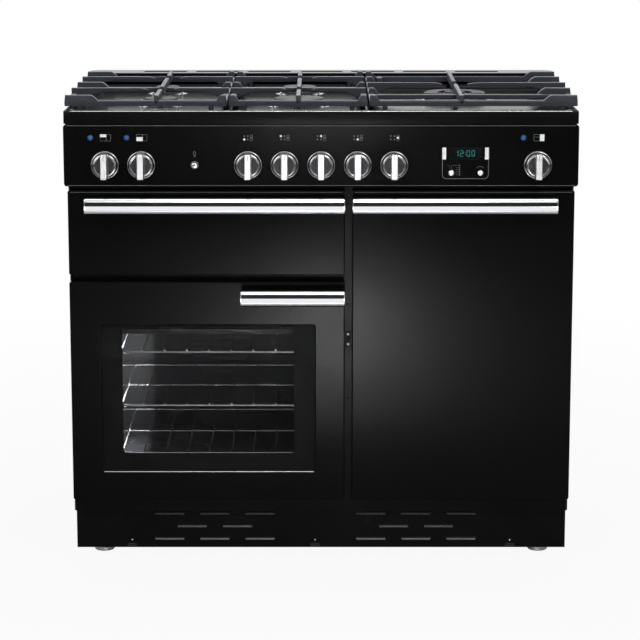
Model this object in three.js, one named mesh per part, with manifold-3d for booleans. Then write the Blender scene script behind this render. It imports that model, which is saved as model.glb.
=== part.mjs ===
// Range cooker, about one metre wide: a tall oven on the right, a second oven on the left with a
// grill compartment above it, and a gas hob with five burners on top.
// Millimetres, +Z up. Pieces are placed with Y = 0 on the face of the control panel and Y growing
// towards the back; the last lines move the whole cooker so that its origin is under its middle.
import * as THREE from "three";
import { mergeVertices } from "three/addons/utils/BufferGeometryUtils.js";
import Module from "manifold-3d";

const wasm = await Module();
wasm.setup();

// ---- Driving dimensions ------------------------------------------------------------------
// Clearances
const fit = 0.3; // between a piece and its seat
const over = 1; // how far a cut or a joined piece reaches past a face
const edge = 1; // taken off the corners of small turned pieces
const runFit = 0.4; // radial, between a pin or shaft and its bore

// Cabinet
const cabinetWidth = 984;
const cabinetBack = 602; // from the panel's face to the outside of the back
const cabinetBottom = 100; // above the floor
const sheet = 2; // folded sheet, also of the liners
const frameFace = 36; // front of the chassis frame, behind the doors
const baseLip = 15; // upturned edge of the base tray

// Control panel and hob edge
const panelOverhang = 5; // past the cabinet on each side
const hobTop = 905;
const hobEdge = 26.6; // height of the hob's front edge
const panelHeight = 120.2;
const panelCorner = 6; // radius of its lower corners
const knobDrop = 77.9; // of the knob axes below the panel's top
const knobPlaces = [-417, -347, -141, -70.5, 0, 70.5, 141, 418];
const gasKnobs = [2, 3, 4, 5, 6]; // which of them work a gas tap

// Doors
const doorSideGap = 1; // of the doors from the cabinet's sides
const leftDoorWidth = 537;
const doorSlot = 14.7; // between the left doors and the right one
const underPanelGap = 7.9;
const grillDoorHeight = 166.3;
const betweenDoorsGap = 13.7;
const underDoorsGap = 31.4; // from the cabinet's bottom to the lower doors
const doorFace = 4; // behind the panel's face
const doorDepth = 26;
const doorSkin = 3;
const doorWall = 2;
const doorReturn = 17; // width of the folded edge on a door's back
const innerPanelFront = 14; // from the door's face to the inner panel
const sealGap = 1.3; // between a closed inner panel and the frame

// Door window, from the left oven door's lower left corner
const windowLeft = 59;
const windowBottom = 55.6;
const windowWidth = 421;
const windowTop = 85; // below the door's top
const windowCorner = 6;
const glassThickness = 4;
const glassLap = 8; // of a pane behind the edge of its opening
const innerWindowInset = 22; // of the inner opening from the outer one

// Door hinges
const hingePin = 5; // diameter
const hingeInset = 5; // of an upright pin from the door's side edge
const hingeBehindFace = 22; // of an upright pin from the door's face
const hingeReach = 12; // of a pin into its door
const hingePlate = 3;
const hingeBlock = 20;
const grillPinUp = 8.3; // of the grill door's pins from its lower edge
const grillPinBehindFace = 13;
const grillArmInset = 60; // of a hinge arm from the door's side edge
const grillArmWidth = 5;
const grillArmHeight = 9;

// Handles
const handleFront = 46; // in front of the panel's face
const handleDepth = 24;
const handleHeight = 28;
const handleRound = 5;
const handleDrop = 11.5; // of its top below the door's top
const handlePost = 20;
const handleEndInset = 36; // from the hinge side of a door
const ovenHandleLength = 202;

// Oven and grill cavities
const leftCavityMargin = 45; // from each side of the left doors
const rightCavityMargins = { left: 43.3, right: 44 }; // from the sides of the right door
const ovenFloorMargin = 40.6; // over a door's lower edge
const leftOvenRoofMargin = 40; // under a door's top
const rightOvenRoofMargin = 42;
const grillFloorMargin = 24.3;
const grillRoofMargin = 24;
const ovenDepth = 430;
const leftShelfHeights = [38, 136, 245]; // over the oven's floor
const rightShelfHeights = [88, 308];
const shelfWire = 5;
const shelfRod = 4;
const shelfSideGap = 3;
const shelfFront = 31; // from the frame's back to the front wire
const shelfDepth = 380;
const ledgeWidth = 11;
const ledgeHeight = 6;

// Fans
const fanRadius = 75;
const fanDepth = 24;
const fanBehindLiner = 9;
const fanBlades = 9;
const fanPlate = 2; // of its disc and blades
const motorRadius = 32;
const fanShaft = 8; // diameter

// Hob
const hobDepth = 529;
const hobCorner = 14; // chamfer of its corners
const hobRim = 15;
const hobWell = 8; // of the spill area below the rim
const hobWellCorner = 24;
const burners = [
  { name: "burner_left_front", x: -319, y: 181, radius: 33 },
  { name: "burner_left_rear", x: -319, y: 411, radius: 25 },
  { name: "burner_centre_front", x: -44, y: 181, radius: 49 },
  { name: "burner_centre_rear", x: -44, y: 411, radius: 35 },
  { name: "burner_wok", x: 272, y: 290, radius: 63 },
];
const burnerCapHeight = 15; // above the spill area
const burnerCupDepth = 20; // below it
const burnerCupInset = 8;

// Pan supports
const supportRise = 26; // of the fingers' tops over the hob's rim
const railTopRise = 16;
const railBottomRise = 5;
const railWidth = 12;
const fingerWidth = 9;
const supportFront = 36;
const supportBack = 528;
const flameGap = 26; // from a burner's middle to the fingers' tips

// Rear vent trim
const ventRise = 22; // over the hob's rim
const ventSlotWidth = 22;
const ventSlots = 7;
const ventRib = 14;

// Plinth and feet
const plinthFace = 50;
const plinthBottom = 20;
const plinthFlange = 40;
const louvreLength = 61;
const louvreHeight = 6;
const louvrePitch = 90.6;
const footPad = 40; // diameter
const footStem = 12; // diameter
const footSideInset = 52; // of feet and rollers from the cabinet's sides
const footBehindFace = 110;
const rollerBehindFace = 540;
const rollerRadius = 25;
const rollerWidth = 20;
const rollerPin = 8; // diameter

// Small sizes
const doorCorner = 3;
const innerCorner = 12;
const innerWall = 2;
const hingePlateGap = 0.5;
const grillPinHalf = 11; // half length of a grill pin
const grillBlockWall = 2.5;
const grillArmGap = 1;
const handlePostInset = 5;
const controlBaySide = 17; // from the cabinet's side to the frame's opening for the controls
const controlBayBelow = 32.2; // from the knob axes to the opening's lower edge
const controlBayAbove = 65.8;
const backSlotDrops = [98.1, 78.1, 58.1]; // of the slots' lower edges below the panel's top
const backSlotCount = 6;
const backSlotPitch = 130;
const backSlotLength = 84;
const backSlotHeight = 7;
const motorGap = 4;
const fanHubRadius = 10;
const fanHubDepth = 14; // of the shaft in the hub
const grilleRadius = 70;
const grillePitch = 14;
const grilleSlot = 6;
const ledgeStart = 12;
const ledgeEnd = 12;
const shelfWirePitch = 47;
const leftShelfWires = 7;
const rightShelfWires = 5;
const elementRadius = 3.5;
const elementWidth = 330;
const elementFront = 150;
const elementTail = 150; // from the back wall to the middle bend
const elementBelowRoof = 14;
const bendReach = 1.3; // of a bend's control points, in half steps
const hobFold = 12;
const burnerSkirt = 5; // past the cap's edge
const burnerSkirtEdge = 2.5;
const burnerSkirtHeight = 5;
const burnerCapEdge = 5; // its thickness
const burnerNeck = 2; // how far the neck under the cap steps in
const fingerBottomRise = 9;
const lugHalf = 6;
const outerLug = 66;
const innerLug = 20;
const supportFootInset = 30;
const supportFootRadius = 5;
const supportGap = 4;
const wokCrossRail = 160; // place of the low rail in front of the large burner
const supportSplits = [-181, 92]; // between the three pan supports
const ventField = 777; // length of the slotted part
const louvreRows = [
  { z: 89.8, left: 0, count: 3 },
  { z: 63.9, left: 45.3, count: 2 },
  { z: 38, left: 0, count: 3 },
];
const louvreGroups = [-303, 100.6];
const footPadHeight = 12;
const footPadEdge = 3;
const footBush = 9; // wall of the bush
const footBushBottom = 60;
const footStemAbove = 30; // of the stem over the base tray
const roundSides = 16; // facets of knobs and burners
const pinSides = 8; // facets of pins, shafts and their bores
const forkHalf = 12;
const forkBelowPin = 10;
const rollerSideGap = 1;

// Knobs and small controls
const knobRadius = 23.5;
const bezelRadius = 28.5;
const bezelHeight = 6;
const knobBehindGap = 1; // between a bezel and the disc of a knob that is pushed in
const knobDiscDepth = 4.5;
const knobEdge = 3;
const gripWidth = 14;
const gripLength = 51;
const gripFront = 36; // in front of the panel's face
const spindle = 8; // diameter
const spindleReach = 8; // into a knob
const tapRadius = 13;
const tapFront = 8; // behind the panel's face
const tapBoreEnd = 36;
const tapPush = 4;
const tapSpare = 2; // behind a spindle that is pushed in
const switchRadius = 15;
const switchDepth = 25;
const railRadius = 8;
const railBehindFace = 60;
const railLength = 350;
const railBracketWidth = 16;
const railBracketDrop = 55.2; // below the gas rail's axis
const timerKnobs = [{ name: "timer_knob_left", x: 251 }, { name: "timer_knob_right", x: 307 }];
const timerKnobDrop = 14.7; // below the knob axes
const timerKnobRadius = 5.5;
const timerKnobDepth = 10;
const timerShaft = 5; // diameter
const timerShaftLength = 12;
const lightButtonX = -244;
const lightButtonPush = 3;
const lightButtonCap = 3.2;
const knobGap = 0.8; // between a knob and its bezel
const gripRound = 4;
const timerBossRadius = 6;
const timerBossDepth = 12;

// ---- Worked out from them ----------------------------------------------------------------
const panelWidth = cabinetWidth + 2 * panelOverhang;
const sideInner = cabinetWidth / 2 - sheet;
const insideHalf = sideInner - fit; // half width of what stands between the side panels
const hobBottom = hobTop - hobEdge;
const panelTop = hobBottom - fit;
const panelBottom = panelTop - panelHeight;
const switchBack = sheet + switchDepth; // behind the panel's face
const knobHeight = panelTop - knobDrop;
const timerKnobHeight = knobHeight - timerKnobDrop;
const railBracketBottom = knobHeight - railBracketDrop;
const controlBayBottom = knobHeight - controlBayBelow;
const controlBayTop = knobHeight + controlBayAbove;
const supportTop = hobTop + supportRise;
const railTop = hobTop + railTopRise;
const railBottom = hobTop + railBottomRise;
const fingerBottom = hobTop + fingerBottomRise;
const ventTop = hobTop + ventRise;
const frameBack = frameFace + sheet;
const behindFrame = frameBack + fit;
const baseTop = cabinetBottom + sheet;

const doorTop = panelBottom - underPanelGap;
const grillDoorBottom = doorTop - grillDoorHeight;
const ovenDoorTop = grillDoorBottom - betweenDoorsGap;
const ovenDoorBottom = cabinetBottom + underDoorsGap;
const ovenDoorHeight = ovenDoorTop - ovenDoorBottom;
const windowHeight = ovenDoorHeight - windowBottom - windowTop;
const doorsHalf = cabinetWidth / 2 - doorSideGap;
const leftDoorLeft = -doorsHalf;
const leftDoorRight = leftDoorLeft + leftDoorWidth;
const rightDoorLeft = leftDoorRight + doorSlot;
const rightDoorRight = doorsHalf;
const doorInnerBack = frameFace - doorFace - sealGap; // from a door's face

const grillDoor = { x: leftDoorLeft, z: grillDoorBottom, width: leftDoorWidth, height: grillDoorHeight };
const ovenDoor = { x: leftDoorLeft, z: ovenDoorBottom, width: leftDoorWidth, height: ovenDoorHeight };
const tallDoor = {
  x: rightDoorLeft,
  z: ovenDoorBottom,
  width: rightDoorRight - rightDoorLeft,
  height: doorTop - ovenDoorBottom,
};
const leftCavityLeft = leftDoorLeft + leftCavityMargin;
const leftCavityWidth = leftDoorWidth - 2 * leftCavityMargin;
const rightCavityLeft = rightDoorLeft + rightCavityMargins.left;
const rightCavityWidth = rightDoorRight - rightCavityMargins.right - rightCavityLeft;
const ovenFloor = ovenDoorBottom + ovenFloorMargin;
const leftOvenHeight = ovenDoorTop - leftOvenRoofMargin - ovenFloor;
const rightOvenHeight = doorTop - rightOvenRoofMargin - ovenFloor;
const grillFloor = grillDoorBottom + grillFloorMargin;
const grillHeight = doorTop - grillRoofMargin - grillFloor;
const leftCavity = {
  x: leftCavityLeft, z: ovenFloor, width: leftCavityWidth, height: leftOvenHeight, depth: ovenDepth,
};
const rightCavity = {
  x: rightCavityLeft, z: ovenFloor, width: rightCavityWidth, height: rightOvenHeight, depth: ovenDepth,
};
const grillCavity = {
  x: leftCavityLeft, z: grillFloor, width: leftCavityWidth, height: grillHeight, depth: ovenDepth,
};

const controlBay = cabinetWidth / 2 - controlBaySide;
const footPlace = { x: cabinetWidth / 2 - footSideInset, y: footBehindFace };
const rollerPlace = { x: footPlace.x, y: rollerBehindFace };
const knobDiscBack = bezelHeight + tapPush + knobBehindGap; // in front of the panel's face

const middleOf = (cavity) => cavity.x + cavity.width / 2;
const ledgeUnder = (z) => z - shelfWire / 2 - fit;
const backPanelInner = cabinetBack - sheet - fit;
const fanFront = behindFrame + ovenDepth + sheet + fanBehindLiner;
const fanBack = fanFront + fanDepth;
const motorFront = fanBack + motorGap;
const fanPlaces = [leftCavity, rightCavity].map((cavity) => [middleOf(cavity), cavity.z + cavity.height / 2]);
const elementBack = behindFrame + ovenDepth - fit;

const lugRows = [
  supportFront + railWidth / 2,
  (burners[0].y + burners[1].y) / 2,
  supportBack - railWidth / 2,
];
const wokLugRows = [lugRows[0], burners[0].y, burners[1].y, lugRows[2]];
const panSupports = [
  {
    name: "pan_support_left",
    x0: -panelWidth / 2,
    x1: supportSplits[0] - supportGap / 2,
    served: burners.slice(0, 2),
    lugs: lugRows.map((y) => ({ y, left: outerLug, right: innerLug })),
    crossRail: lugRows[1],
  },
  {
    name: "pan_support_centre",
    x0: supportSplits[0] + supportGap / 2,
    x1: supportSplits[1] - supportGap / 2,
    served: burners.slice(2, 4),
    lugs: lugRows.map((y) => ({ y, left: innerLug, right: innerLug })),
    crossRail: lugRows[1],
  },
  {
    name: "pan_support_right",
    x0: supportSplits[1] + supportGap / 2,
    x1: panelWidth / 2,
    served: burners.slice(4),
    lugs: wokLugRows.map((y) => ({ y, left: innerLug, right: outerLug })),
    crossRail: wokCrossRail,
  },
];

// ---- Finishes ----------------------------------------------------------------------------
const finish = (color, roughness, metalness) =>
  new THREE.MeshStandardMaterial({ color, roughness, metalness });
const blackGloss = finish(0x0b0b0c, 0.12, 0);
const blackSteel = finish(0x17181a, 0.45, 0.4);
const chrome = finish(0xd5d7da, 0.08, 1);
const satinSilver = finish(0xb9bbbe, 0.3, 1);
const castIron = finish(0x2a2b2d, 0.7, 0.3);
const greyEnamel = finish(0x2b2c30, 0.35, 0);
const bareSteel = finish(0x8f9194, 0.35, 0.9);
const zincSteel = finish(0xa2a5a8, 0.5, 0.8);
const aluminium = finish(0x9c9ea1, 0.45, 0.8);
const brass = finish(0xb08d4f, 0.35, 0.9);
const tintedGlass = finish(0x15171a, 0.05, 0);
const blackPlastic = finish(0x141415, 0.5, 0);

// ---- Solids ------------------------------------------------------------------------------
// A closed three.js geometry as a solid. Its shared corners are merged and triangles that have
// shrunk to a line are left out. A turned profile may run either way, so the faces are turned out.
function solid(geometry) {
  const bare = geometry.clone();
  bare.deleteAttribute("normal");
  bare.deleteAttribute("uv");
  const merged = mergeVertices(bare, 1e-4);
  const points = merged.attributes.position;
  const index = merged.index.array;
  const corners = [];
  let volume = 0;
  const a = new THREE.Vector3();
  const b = new THREE.Vector3();
  const c = new THREE.Vector3();
  for (let i = 0; i < index.length; i += 3) {
    const [p, q, r] = [index[i], index[i + 1], index[i + 2]];
    if (p === q || q === r || r === p) continue;
    corners.push(p, q, r);
    a.fromBufferAttribute(points, p);
    b.fromBufferAttribute(points, q);
    c.fromBufferAttribute(points, r);
    volume += a.dot(b.cross(c));
  }
  if (volume < 0) corners.reverse();
  const vertProperties = new Float32Array(points.array);
  return new wasm.Manifold(
    new wasm.Mesh({ numProp: 3, vertProperties, triVerts: new Uint32Array(corners) }),
  );
}

const join = (...solids) => solids.flat().reduce((whole, piece) => whole.add(piece));
const cut = (whole, ...tools) => whole.subtract(join(...tools));

function box(x0, x1, y0, y1, z0, z1) {
  const geometry = new THREE.BoxGeometry(x1 - x0, y1 - y0, z1 - z0);
  return solid(geometry.translate((x0 + x1) / 2, (y0 + y1) / 2, (z0 + z1) / 2));
}

// A round bar between two points of one axis, "x", "y" or "z"; at holds its other two places.
function rod(axis, radius, from, to, at, sides = pinSides) {
  const geometry = new THREE.CylinderGeometry(radius, radius, to - from, sides);
  geometry.translate(0, (from + to) / 2, 0);
  if (axis === "x") geometry.rotateZ(-Math.PI / 2).translate(0, at[0], at[1]);
  if (axis === "y") geometry.translate(at[0], 0, at[1]);
  if (axis === "z") geometry.rotateX(Math.PI / 2).translate(at[0], at[1], 0);
  return solid(geometry);
}

// A rectangle with its corners rounded, or left square where the radius is 0.
// radii: lower left, lower right, upper right, upper left.
function rectangle(x0, x1, y0, y1, radii = [0, 0, 0, 0]) {
  const [r0, r1, r2, r3] = radii;
  const shape = new THREE.Shape();
  shape.moveTo(x0 + r0, y0);
  shape.lineTo(x1 - r1, y0);
  if (r1) shape.absarc(x1 - r1, y0 + r1, r1, -Math.PI / 2, 0, false);
  shape.lineTo(x1, y1 - r2);
  if (r2) shape.absarc(x1 - r2, y1 - r2, r2, 0, Math.PI / 2, false);
  shape.lineTo(x0 + r3, y1);
  if (r3) shape.absarc(x0 + r3, y1 - r3, r3, Math.PI / 2, Math.PI, false);
  shape.lineTo(x0, y0 + r0);
  if (r0) shape.absarc(x0 + r0, y0 + r0, r0, Math.PI, Math.PI * 1.5, false);
  return shape;
}

const four = (radius) => [radius, radius, radius, radius];

// A plan outline raised from z0 to z1.
function raise(shape, z0, z1, curveSegments = 4) {
  const geometry = new THREE.ExtrudeGeometry(shape, { depth: z1 - z0, bevelEnabled: false, curveSegments });
  return solid(geometry.translate(0, 0, z0));
}

// A front outline, drawn in X and Z, carried back from y0 to y1.
function carryBack(shape, y0, y1, curveSegments = 4) {
  const geometry = new THREE.ExtrudeGeometry(shape, { depth: y1 - y0, bevelEnabled: false, curveSegments });
  return solid(geometry.rotateX(Math.PI / 2).translate(0, y1, 0));
}

// A side outline, drawn in Y and Z, carried from x0 to x1.
function carryAcross(shape, x0, x1, curveSegments = 4) {
  const geometry = new THREE.ExtrudeGeometry(shape, { depth: x1 - x0, bevelEnabled: false, curveSegments });
  const turn = new THREE.Matrix4().makeBasis(
    new THREE.Vector3(0, 1, 0),
    new THREE.Vector3(0, 0, 1),
    new THREE.Vector3(1, 0, 0),
  );
  return solid(geometry.applyMatrix4(turn).translate(x0, 0, 0));
}

// A profile of [radius, height] points turned round the Z axis.
function turned(profile, sides = roundSides) {
  const points = profile.map(([radius, height]) => new THREE.Vector2(radius, height));
  return solid(new THREE.LatheGeometry(points, sides).rotateX(Math.PI / 2));
}

// The same, turned round an axis that points to the front, with heights measured forwards.
function turnedForward(profile, sides = roundSides) {
  const points = profile.map(([radius, height]) => new THREE.Vector2(radius, height));
  return solid(new THREE.LatheGeometry(points, sides).rotateZ(Math.PI));
}

// A named sub-part made from a solid.
function part(name, body, material, place = [0, 0, 0]) {
  const { vertProperties, triVerts } = body.getMesh();
  const geometry = new THREE.BufferGeometry();
  geometry.setAttribute("position", new THREE.BufferAttribute(vertProperties, 3));
  geometry.setIndex(new THREE.BufferAttribute(triVerts, 1));
  geometry.computeVertexNormals();
  const mesh = new THREE.Mesh(geometry, material);
  mesh.name = name;
  mesh.position.set(...place);
  return mesh;
}

const cooker = new THREE.Group();

// ---- Cabinet -----------------------------------------------------------------------------
function sidePanel(side) {
  const [x0, x1] = side < 0 ? [-cabinetWidth / 2, -sideInner] : [sideInner, cabinetWidth / 2];
  return box(x0, x1, frameFace, cabinetBack, cabinetBottom, panelTop);
}

// The chassis frame: one plate with an opening for each cavity and for the controls, the plates and
// pins of the upright hinges, and the two arms that carry the grill door.
function frontFrame() {
  const plate = box(-insideHalf, insideHalf, frameFace, frameBack, cabinetBottom, panelTop);
  const openings = [leftCavity, rightCavity, grillCavity].map((cavity) =>
    box(
      cavity.x, cavity.x + cavity.width, frameFace - over, frameBack + over,
      cavity.z, cavity.z + cavity.height,
    ),
  );
  const controls = box(
    -controlBay, controlBay, frameFace - over, frameBack + over, controlBayBottom, controlBayTop,
  );
  const hinges = [...uprightHinge(ovenDoor, -1), ...uprightHinge(tallDoor, 1), grillArms()];
  return join(cut(plate, ...openings, controls), ...hinges);
}

// Top and bottom hinge plates of a side-hung door, each with a pin that reaches into the door.
function uprightHinge(door, side) {
  const x = side * (doorsHalf - hingeInset);
  const y = doorFace + hingeBehindFace;
  const half = hingeInset;
  const edges = [side * insideHalf, x - side * half].sort((p, q) => p - q);
  const top = door.z + door.height + hingePlateGap;
  const bottom = door.z - hingePlateGap;
  const plate = (z0) =>
    join(
      box(edges[0], edges[1], y, frameFace + over, z0, z0 + hingePlate),
      rod("z", half, z0, z0 + hingePlate, [x, y]),
    );
  return [
    plate(top),
    rod("z", hingePin / 2, door.z + door.height - hingeReach, top + over, [x, y]),
    plate(bottom - hingePlate),
    rod("z", hingePin / 2, bottom - over, door.z + hingeReach, [x, y]),
  ];
}

function grillArms() {
  const y = doorFace + grillPinBehindFace;
  const z = grillDoor.z + grillPinUp;
  const half = grillArmHeight / 2;
  return join(
    grillArmPlaces().flatMap((x) => [
      box(x - grillArmWidth / 2, x + grillArmWidth / 2, y, frameFace + over, z - half, z + half),
      rod("x", half, x - grillArmWidth / 2, x + grillArmWidth / 2, [y, z]),
      rod("x", hingePin / 2, x - grillPinHalf, x + grillPinHalf, [y, z]),
    ]),
  );
}

function grillArmPlaces() {
  return [grillDoor.x + grillArmInset, grillDoor.x + grillDoor.width - grillArmInset];
}

// The tray under the cabinet, with the bushes of the front feet and the forks of the rear rollers.
function baseTray() {
  const outer = box(-insideHalf, insideHalf, behindFrame, backPanelInner, cabinetBottom, baseTop + baseLip);
  const inner = box(
    -insideHalf + sheet, insideHalf - sheet, behindFrame + sheet, backPanelInner - sheet,
    baseTop, baseTop + baseLip + over,
  );
  const pieces = [cut(outer, inner)];
  const bores = [];
  for (const side of [-1, 1]) {
    const x = side * footPlace.x;
    pieces.push(rod("z", footStem / 2 + footBush, footBushBottom, baseTop - over, [x, footPlace.y]));
    bores.push(rod("z", footStem / 2 + runFit, footBushBottom - over, baseTop + over, [x, footPlace.y]));
    const wheel = side * rollerPlace.x;
    for (const cheek of [-1, 1]) {
      const middle = wheel + cheek * (rollerWidth / 2 + rollerSideGap + sheet / 2);
      pieces.push(
        box(
          middle - sheet / 2, middle + sheet / 2, rollerPlace.y - forkHalf, rollerPlace.y + forkHalf,
          rollerRadius - forkBelowPin, cabinetBottom + over,
        ),
      );
    }
    const reach = rollerWidth / 2 + rollerSideGap + sheet;
    pieces.push(rod("x", rollerPin / 2, wheel - reach, wheel + reach, [rollerPlace.y, rollerRadius]));
  }
  return cut(join(pieces), ...bores);
}

// The back plate with its rows of cooling slots and the two fan motors that are bolted to it.
function backPanel() {
  const plate = box(-insideHalf, insideHalf, backPanelInner + fit, cabinetBack, cabinetBottom, panelTop);
  const slots = [];
  for (const drop of backSlotDrops) {
    const z = panelTop - drop;
    for (let i = 0; i < backSlotCount; i += 1) {
      const x = (i - (backSlotCount - 1) / 2) * backSlotPitch;
      slots.push(
        box(
          x - backSlotLength / 2, x + backSlotLength / 2, cabinetBack - 2 * sheet, cabinetBack + over,
          z, z + backSlotHeight,
        ),
      );
    }
  }
  const motors = fanPlaces.flatMap(([x, z]) => [
    rod("y", motorRadius, motorFront, cabinetBack - over, [x, z], roundSides),
    rod("y", fanShaft / 2, fanBack - fanHubDepth, motorFront + over, [x, z]),
  ]);
  return join(cut(plate, ...slots), motors);
}

// ---- Cavities ----------------------------------------------------------------------------
// An enamelled box open to the front. ledges are the heights of what slides in; a fan cavity has
// a slotted field in its back wall.
function liner(cavity, ledges, fan) {
  const x1 = cavity.x + cavity.width;
  const z1 = cavity.z + cavity.height;
  const back = behindFrame + cavity.depth;
  const shell = cut(
    box(cavity.x - sheet, x1 + sheet, behindFrame, back + sheet, cavity.z - sheet, z1 + sheet),
    box(cavity.x, x1, behindFrame - over, back, cavity.z, z1),
  );
  const strips = ledges.flatMap((z) => [
    box(cavity.x - over, cavity.x + ledgeWidth, behindFrame + ledgeStart, back - ledgeEnd, z - ledgeHeight, z),
    box(x1 - ledgeWidth, x1 + over, behindFrame + ledgeStart, back - ledgeEnd, z - ledgeHeight, z),
  ]);
  const whole = join(shell, strips);
  if (!fan) return whole;
  const slots = [];
  for (let z = -grilleRadius + grillePitch / 2; z < grilleRadius; z += grillePitch) {
    const half = Math.sqrt(grilleRadius ** 2 - z ** 2);
    const [x, bottom] = [fan[0], fan[1] + z];
    slots.push(box(x - half, x + half, back - over, back + sheet + over, bottom, bottom + grilleSlot));
  }
  return cut(whole, ...slots);
}

// A wire shelf: a frame of thick wire with thinner rods from front to back.
function shelf(cavity, wires) {
  const half = cavity.width / 2 - shelfSideGap;
  const r = shelfWire / 2;
  const side = half - shelfWire;
  const ring = cut(
    box(-half, half, -r, shelfDepth + r, -r, r),
    box(-side, side, r, shelfDepth - r, -shelfWire, shelfWire),
  );
  const rodHalf = shelfRod / 2;
  const rods = Array.from({ length: wires }, (_, i) => {
    const x = (i - (wires - 1) / 2) * shelfWirePitch;
    return box(x - rodHalf, x + rodHalf, 0, shelfDepth, -rodHalf, rodHalf);
  });
  return join(ring, rods);
}

// The grill's heating rod: a flat hairpin run under the roof of its cavity, both ends at the back.
function grillElement() {
  const half = elementWidth / 2;
  const step = elementWidth / 3;
  const bend = step / 2;
  const path = new THREE.CurvePath();
  const arc = (from, over, to) =>
    path.add(new THREE.CubicBezierCurve3(from, over[0], over[1], to));
  const point = (x, y) => new THREE.Vector3(x, y, 0);
  const front = elementFront;
  const back = elementBack;
  const turnBack = back - elementTail;
  path.add(new THREE.LineCurve3(point(-half, back), point(-half, front)));
  const tip = front - bend * bendReach;
  arc(point(-half, front), [point(-half, tip), point(-half + step, tip)], point(-half + step, front));
  path.add(new THREE.LineCurve3(point(-half + step, front), point(-half + step, turnBack)));
  arc(
    point(-half + step, turnBack),
    [point(-half + step, turnBack + bend * bendReach), point(half - step, turnBack + bend * bendReach)],
    point(half - step, turnBack),
  );
  path.add(new THREE.LineCurve3(point(half - step, turnBack), point(half - step, front)));
  arc(point(half - step, front), [point(half - step, tip), point(half, tip)], point(half, front));
  path.add(new THREE.LineCurve3(point(half, front), point(half, back)));
  const section = new THREE.Shape();
  section.absarc(0, 0, elementRadius, 0, Math.PI * 2, false);
  const settings = { steps: 40, curveSegments: 2, bevelEnabled: false, extrudePath: path };
  return solid(new THREE.ExtrudeGeometry(section, settings));
}

function fanWheel() {
  const pieces = [
    rod("y", fanRadius, 0, fanPlate, [0, 0], roundSides),
    rod("y", fanHubRadius, 0, fanDepth, [0, 0]),
  ];
  for (let i = 0; i < fanBlades; i += 1) {
    const blade = new THREE.BoxGeometry(fanRadius - fanHubRadius + over, fanDepth - over, fanPlate);
    blade.translate((fanRadius + fanHubRadius) / 2 - over, (fanDepth + over) / 2, 0);
    pieces.push(solid(blade.rotateY((2 * Math.PI * i) / fanBlades)));
  }
  const bore = rod("y", fanShaft / 2 + runFit, fanDepth - fanHubDepth - fit, fanDepth + over, [0, 0]);
  return cut(join(pieces), bore);
}

// ---- Doors: X from the door's left edge, Y from its face, Z from its lower edge ------------
// A pressed skin folded back round its four sides, open behind, with blocks for the hinge pins.
function doorTray(door, hinge) {
  const { width, height } = door;
  const shell = cut(
    carryBack(rectangle(0, width, 0, height, four(doorCorner)), 0, doorDepth, 3),
    box(doorWall, width - doorWall, doorSkin, doorDepth - doorWall, doorWall, height - doorWall),
    box(doorReturn, width - doorReturn, doorSkin, doorDepth + over, doorReturn, height - doorReturn),
  );
  return hinge === "below" ? withGrillHinges(shell, door) : withUprightHinges(shell, door, hinge);
}

function withUprightHinges(shell, { width, height }, hinge) {
  const pinX = hinge === "left" ? hingeInset : width - hingeInset;
  const [x0, x1] = hinge === "left" ? [over, doorReturn] : [width - doorReturn, width - over];
  const blocks = [over, height - hingeBlock].map((z) =>
    box(x0, x1, over, doorDepth - over, z, z + hingeBlock - over),
  );
  const radius = hingePin / 2 + runFit;
  const depth = hingeReach + fit;
  const bores = [
    rod("z", radius, -over, depth, [pinX, hingeBehindFace]),
    rod("z", radius, height - depth, height + over, [pinX, hingeBehindFace]),
  ];
  return cut(join(shell, blocks), ...bores);
}

function withGrillHinges(shell, { width }) {
  const places = [grillArmInset, width - grillArmInset];
  const pinReach = grillPinHalf + fit;
  const half = pinReach + grillBlockWall;
  const notchHalf = grillArmWidth / 2 + grillArmGap;
  const notchTop = grillPinUp + grillArmHeight / 2 + grillArmGap;
  const notchFront = grillPinBehindFace - grillArmHeight / 2 - grillArmGap;
  const blocks = places.map((x) => box(x - half, x + half, over, doorDepth - over, over, doorReturn));
  const tools = places.flatMap((x) => [
    box(x - notchHalf, x + notchHalf, notchFront, doorDepth + over, -over, notchTop),
    rod("x", hingePin / 2 + runFit, x - pinReach, x + pinReach, [grillPinBehindFace, grillPinUp]),
  ]);
  return cut(join(shell, blocks), ...tools);
}

// The enamelled inner panel, pressed hollow, which stands in the opening that the folded edge
// leaves. A window keeps the solid frame that kept holds.
function innerPanel({ width, height }, kept) {
  const inset = doorReturn + fit;
  const outline = rectangle(inset, width - inset, inset, height - inset, four(innerCorner));
  const hollow = box(
    inset + innerWall, width - inset - innerWall, innerPanelFront - over, doorInnerBack - innerWall,
    inset + innerWall, height - inset - innerWall,
  );
  return cut(carryBack(outline, innerPanelFront, doorInnerBack, 3), kept ? cut(hollow, kept) : hollow);
}

const windowOutline = (inset) =>
  rectangle(
    windowLeft + inset,
    windowLeft + windowWidth - inset,
    windowBottom + inset,
    windowBottom + windowHeight - inset,
    four(windowCorner),
  );

// A bar on two posts. Its ends are square, and its long edges are rounded.
function handleBar(length, posts) {
  const back = handleFront + doorFace;
  const profile = rectangle(-back, handleDepth - back, 0, handleHeight, four(handleRound));
  const bars = posts.map((x) =>
    box(x, x + handlePost, handleDepth - back - over, -fit, handlePostInset, handleHeight - handlePostInset),
  );
  return join(carryAcross(profile, 0, length, 4), bars);
}

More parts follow.
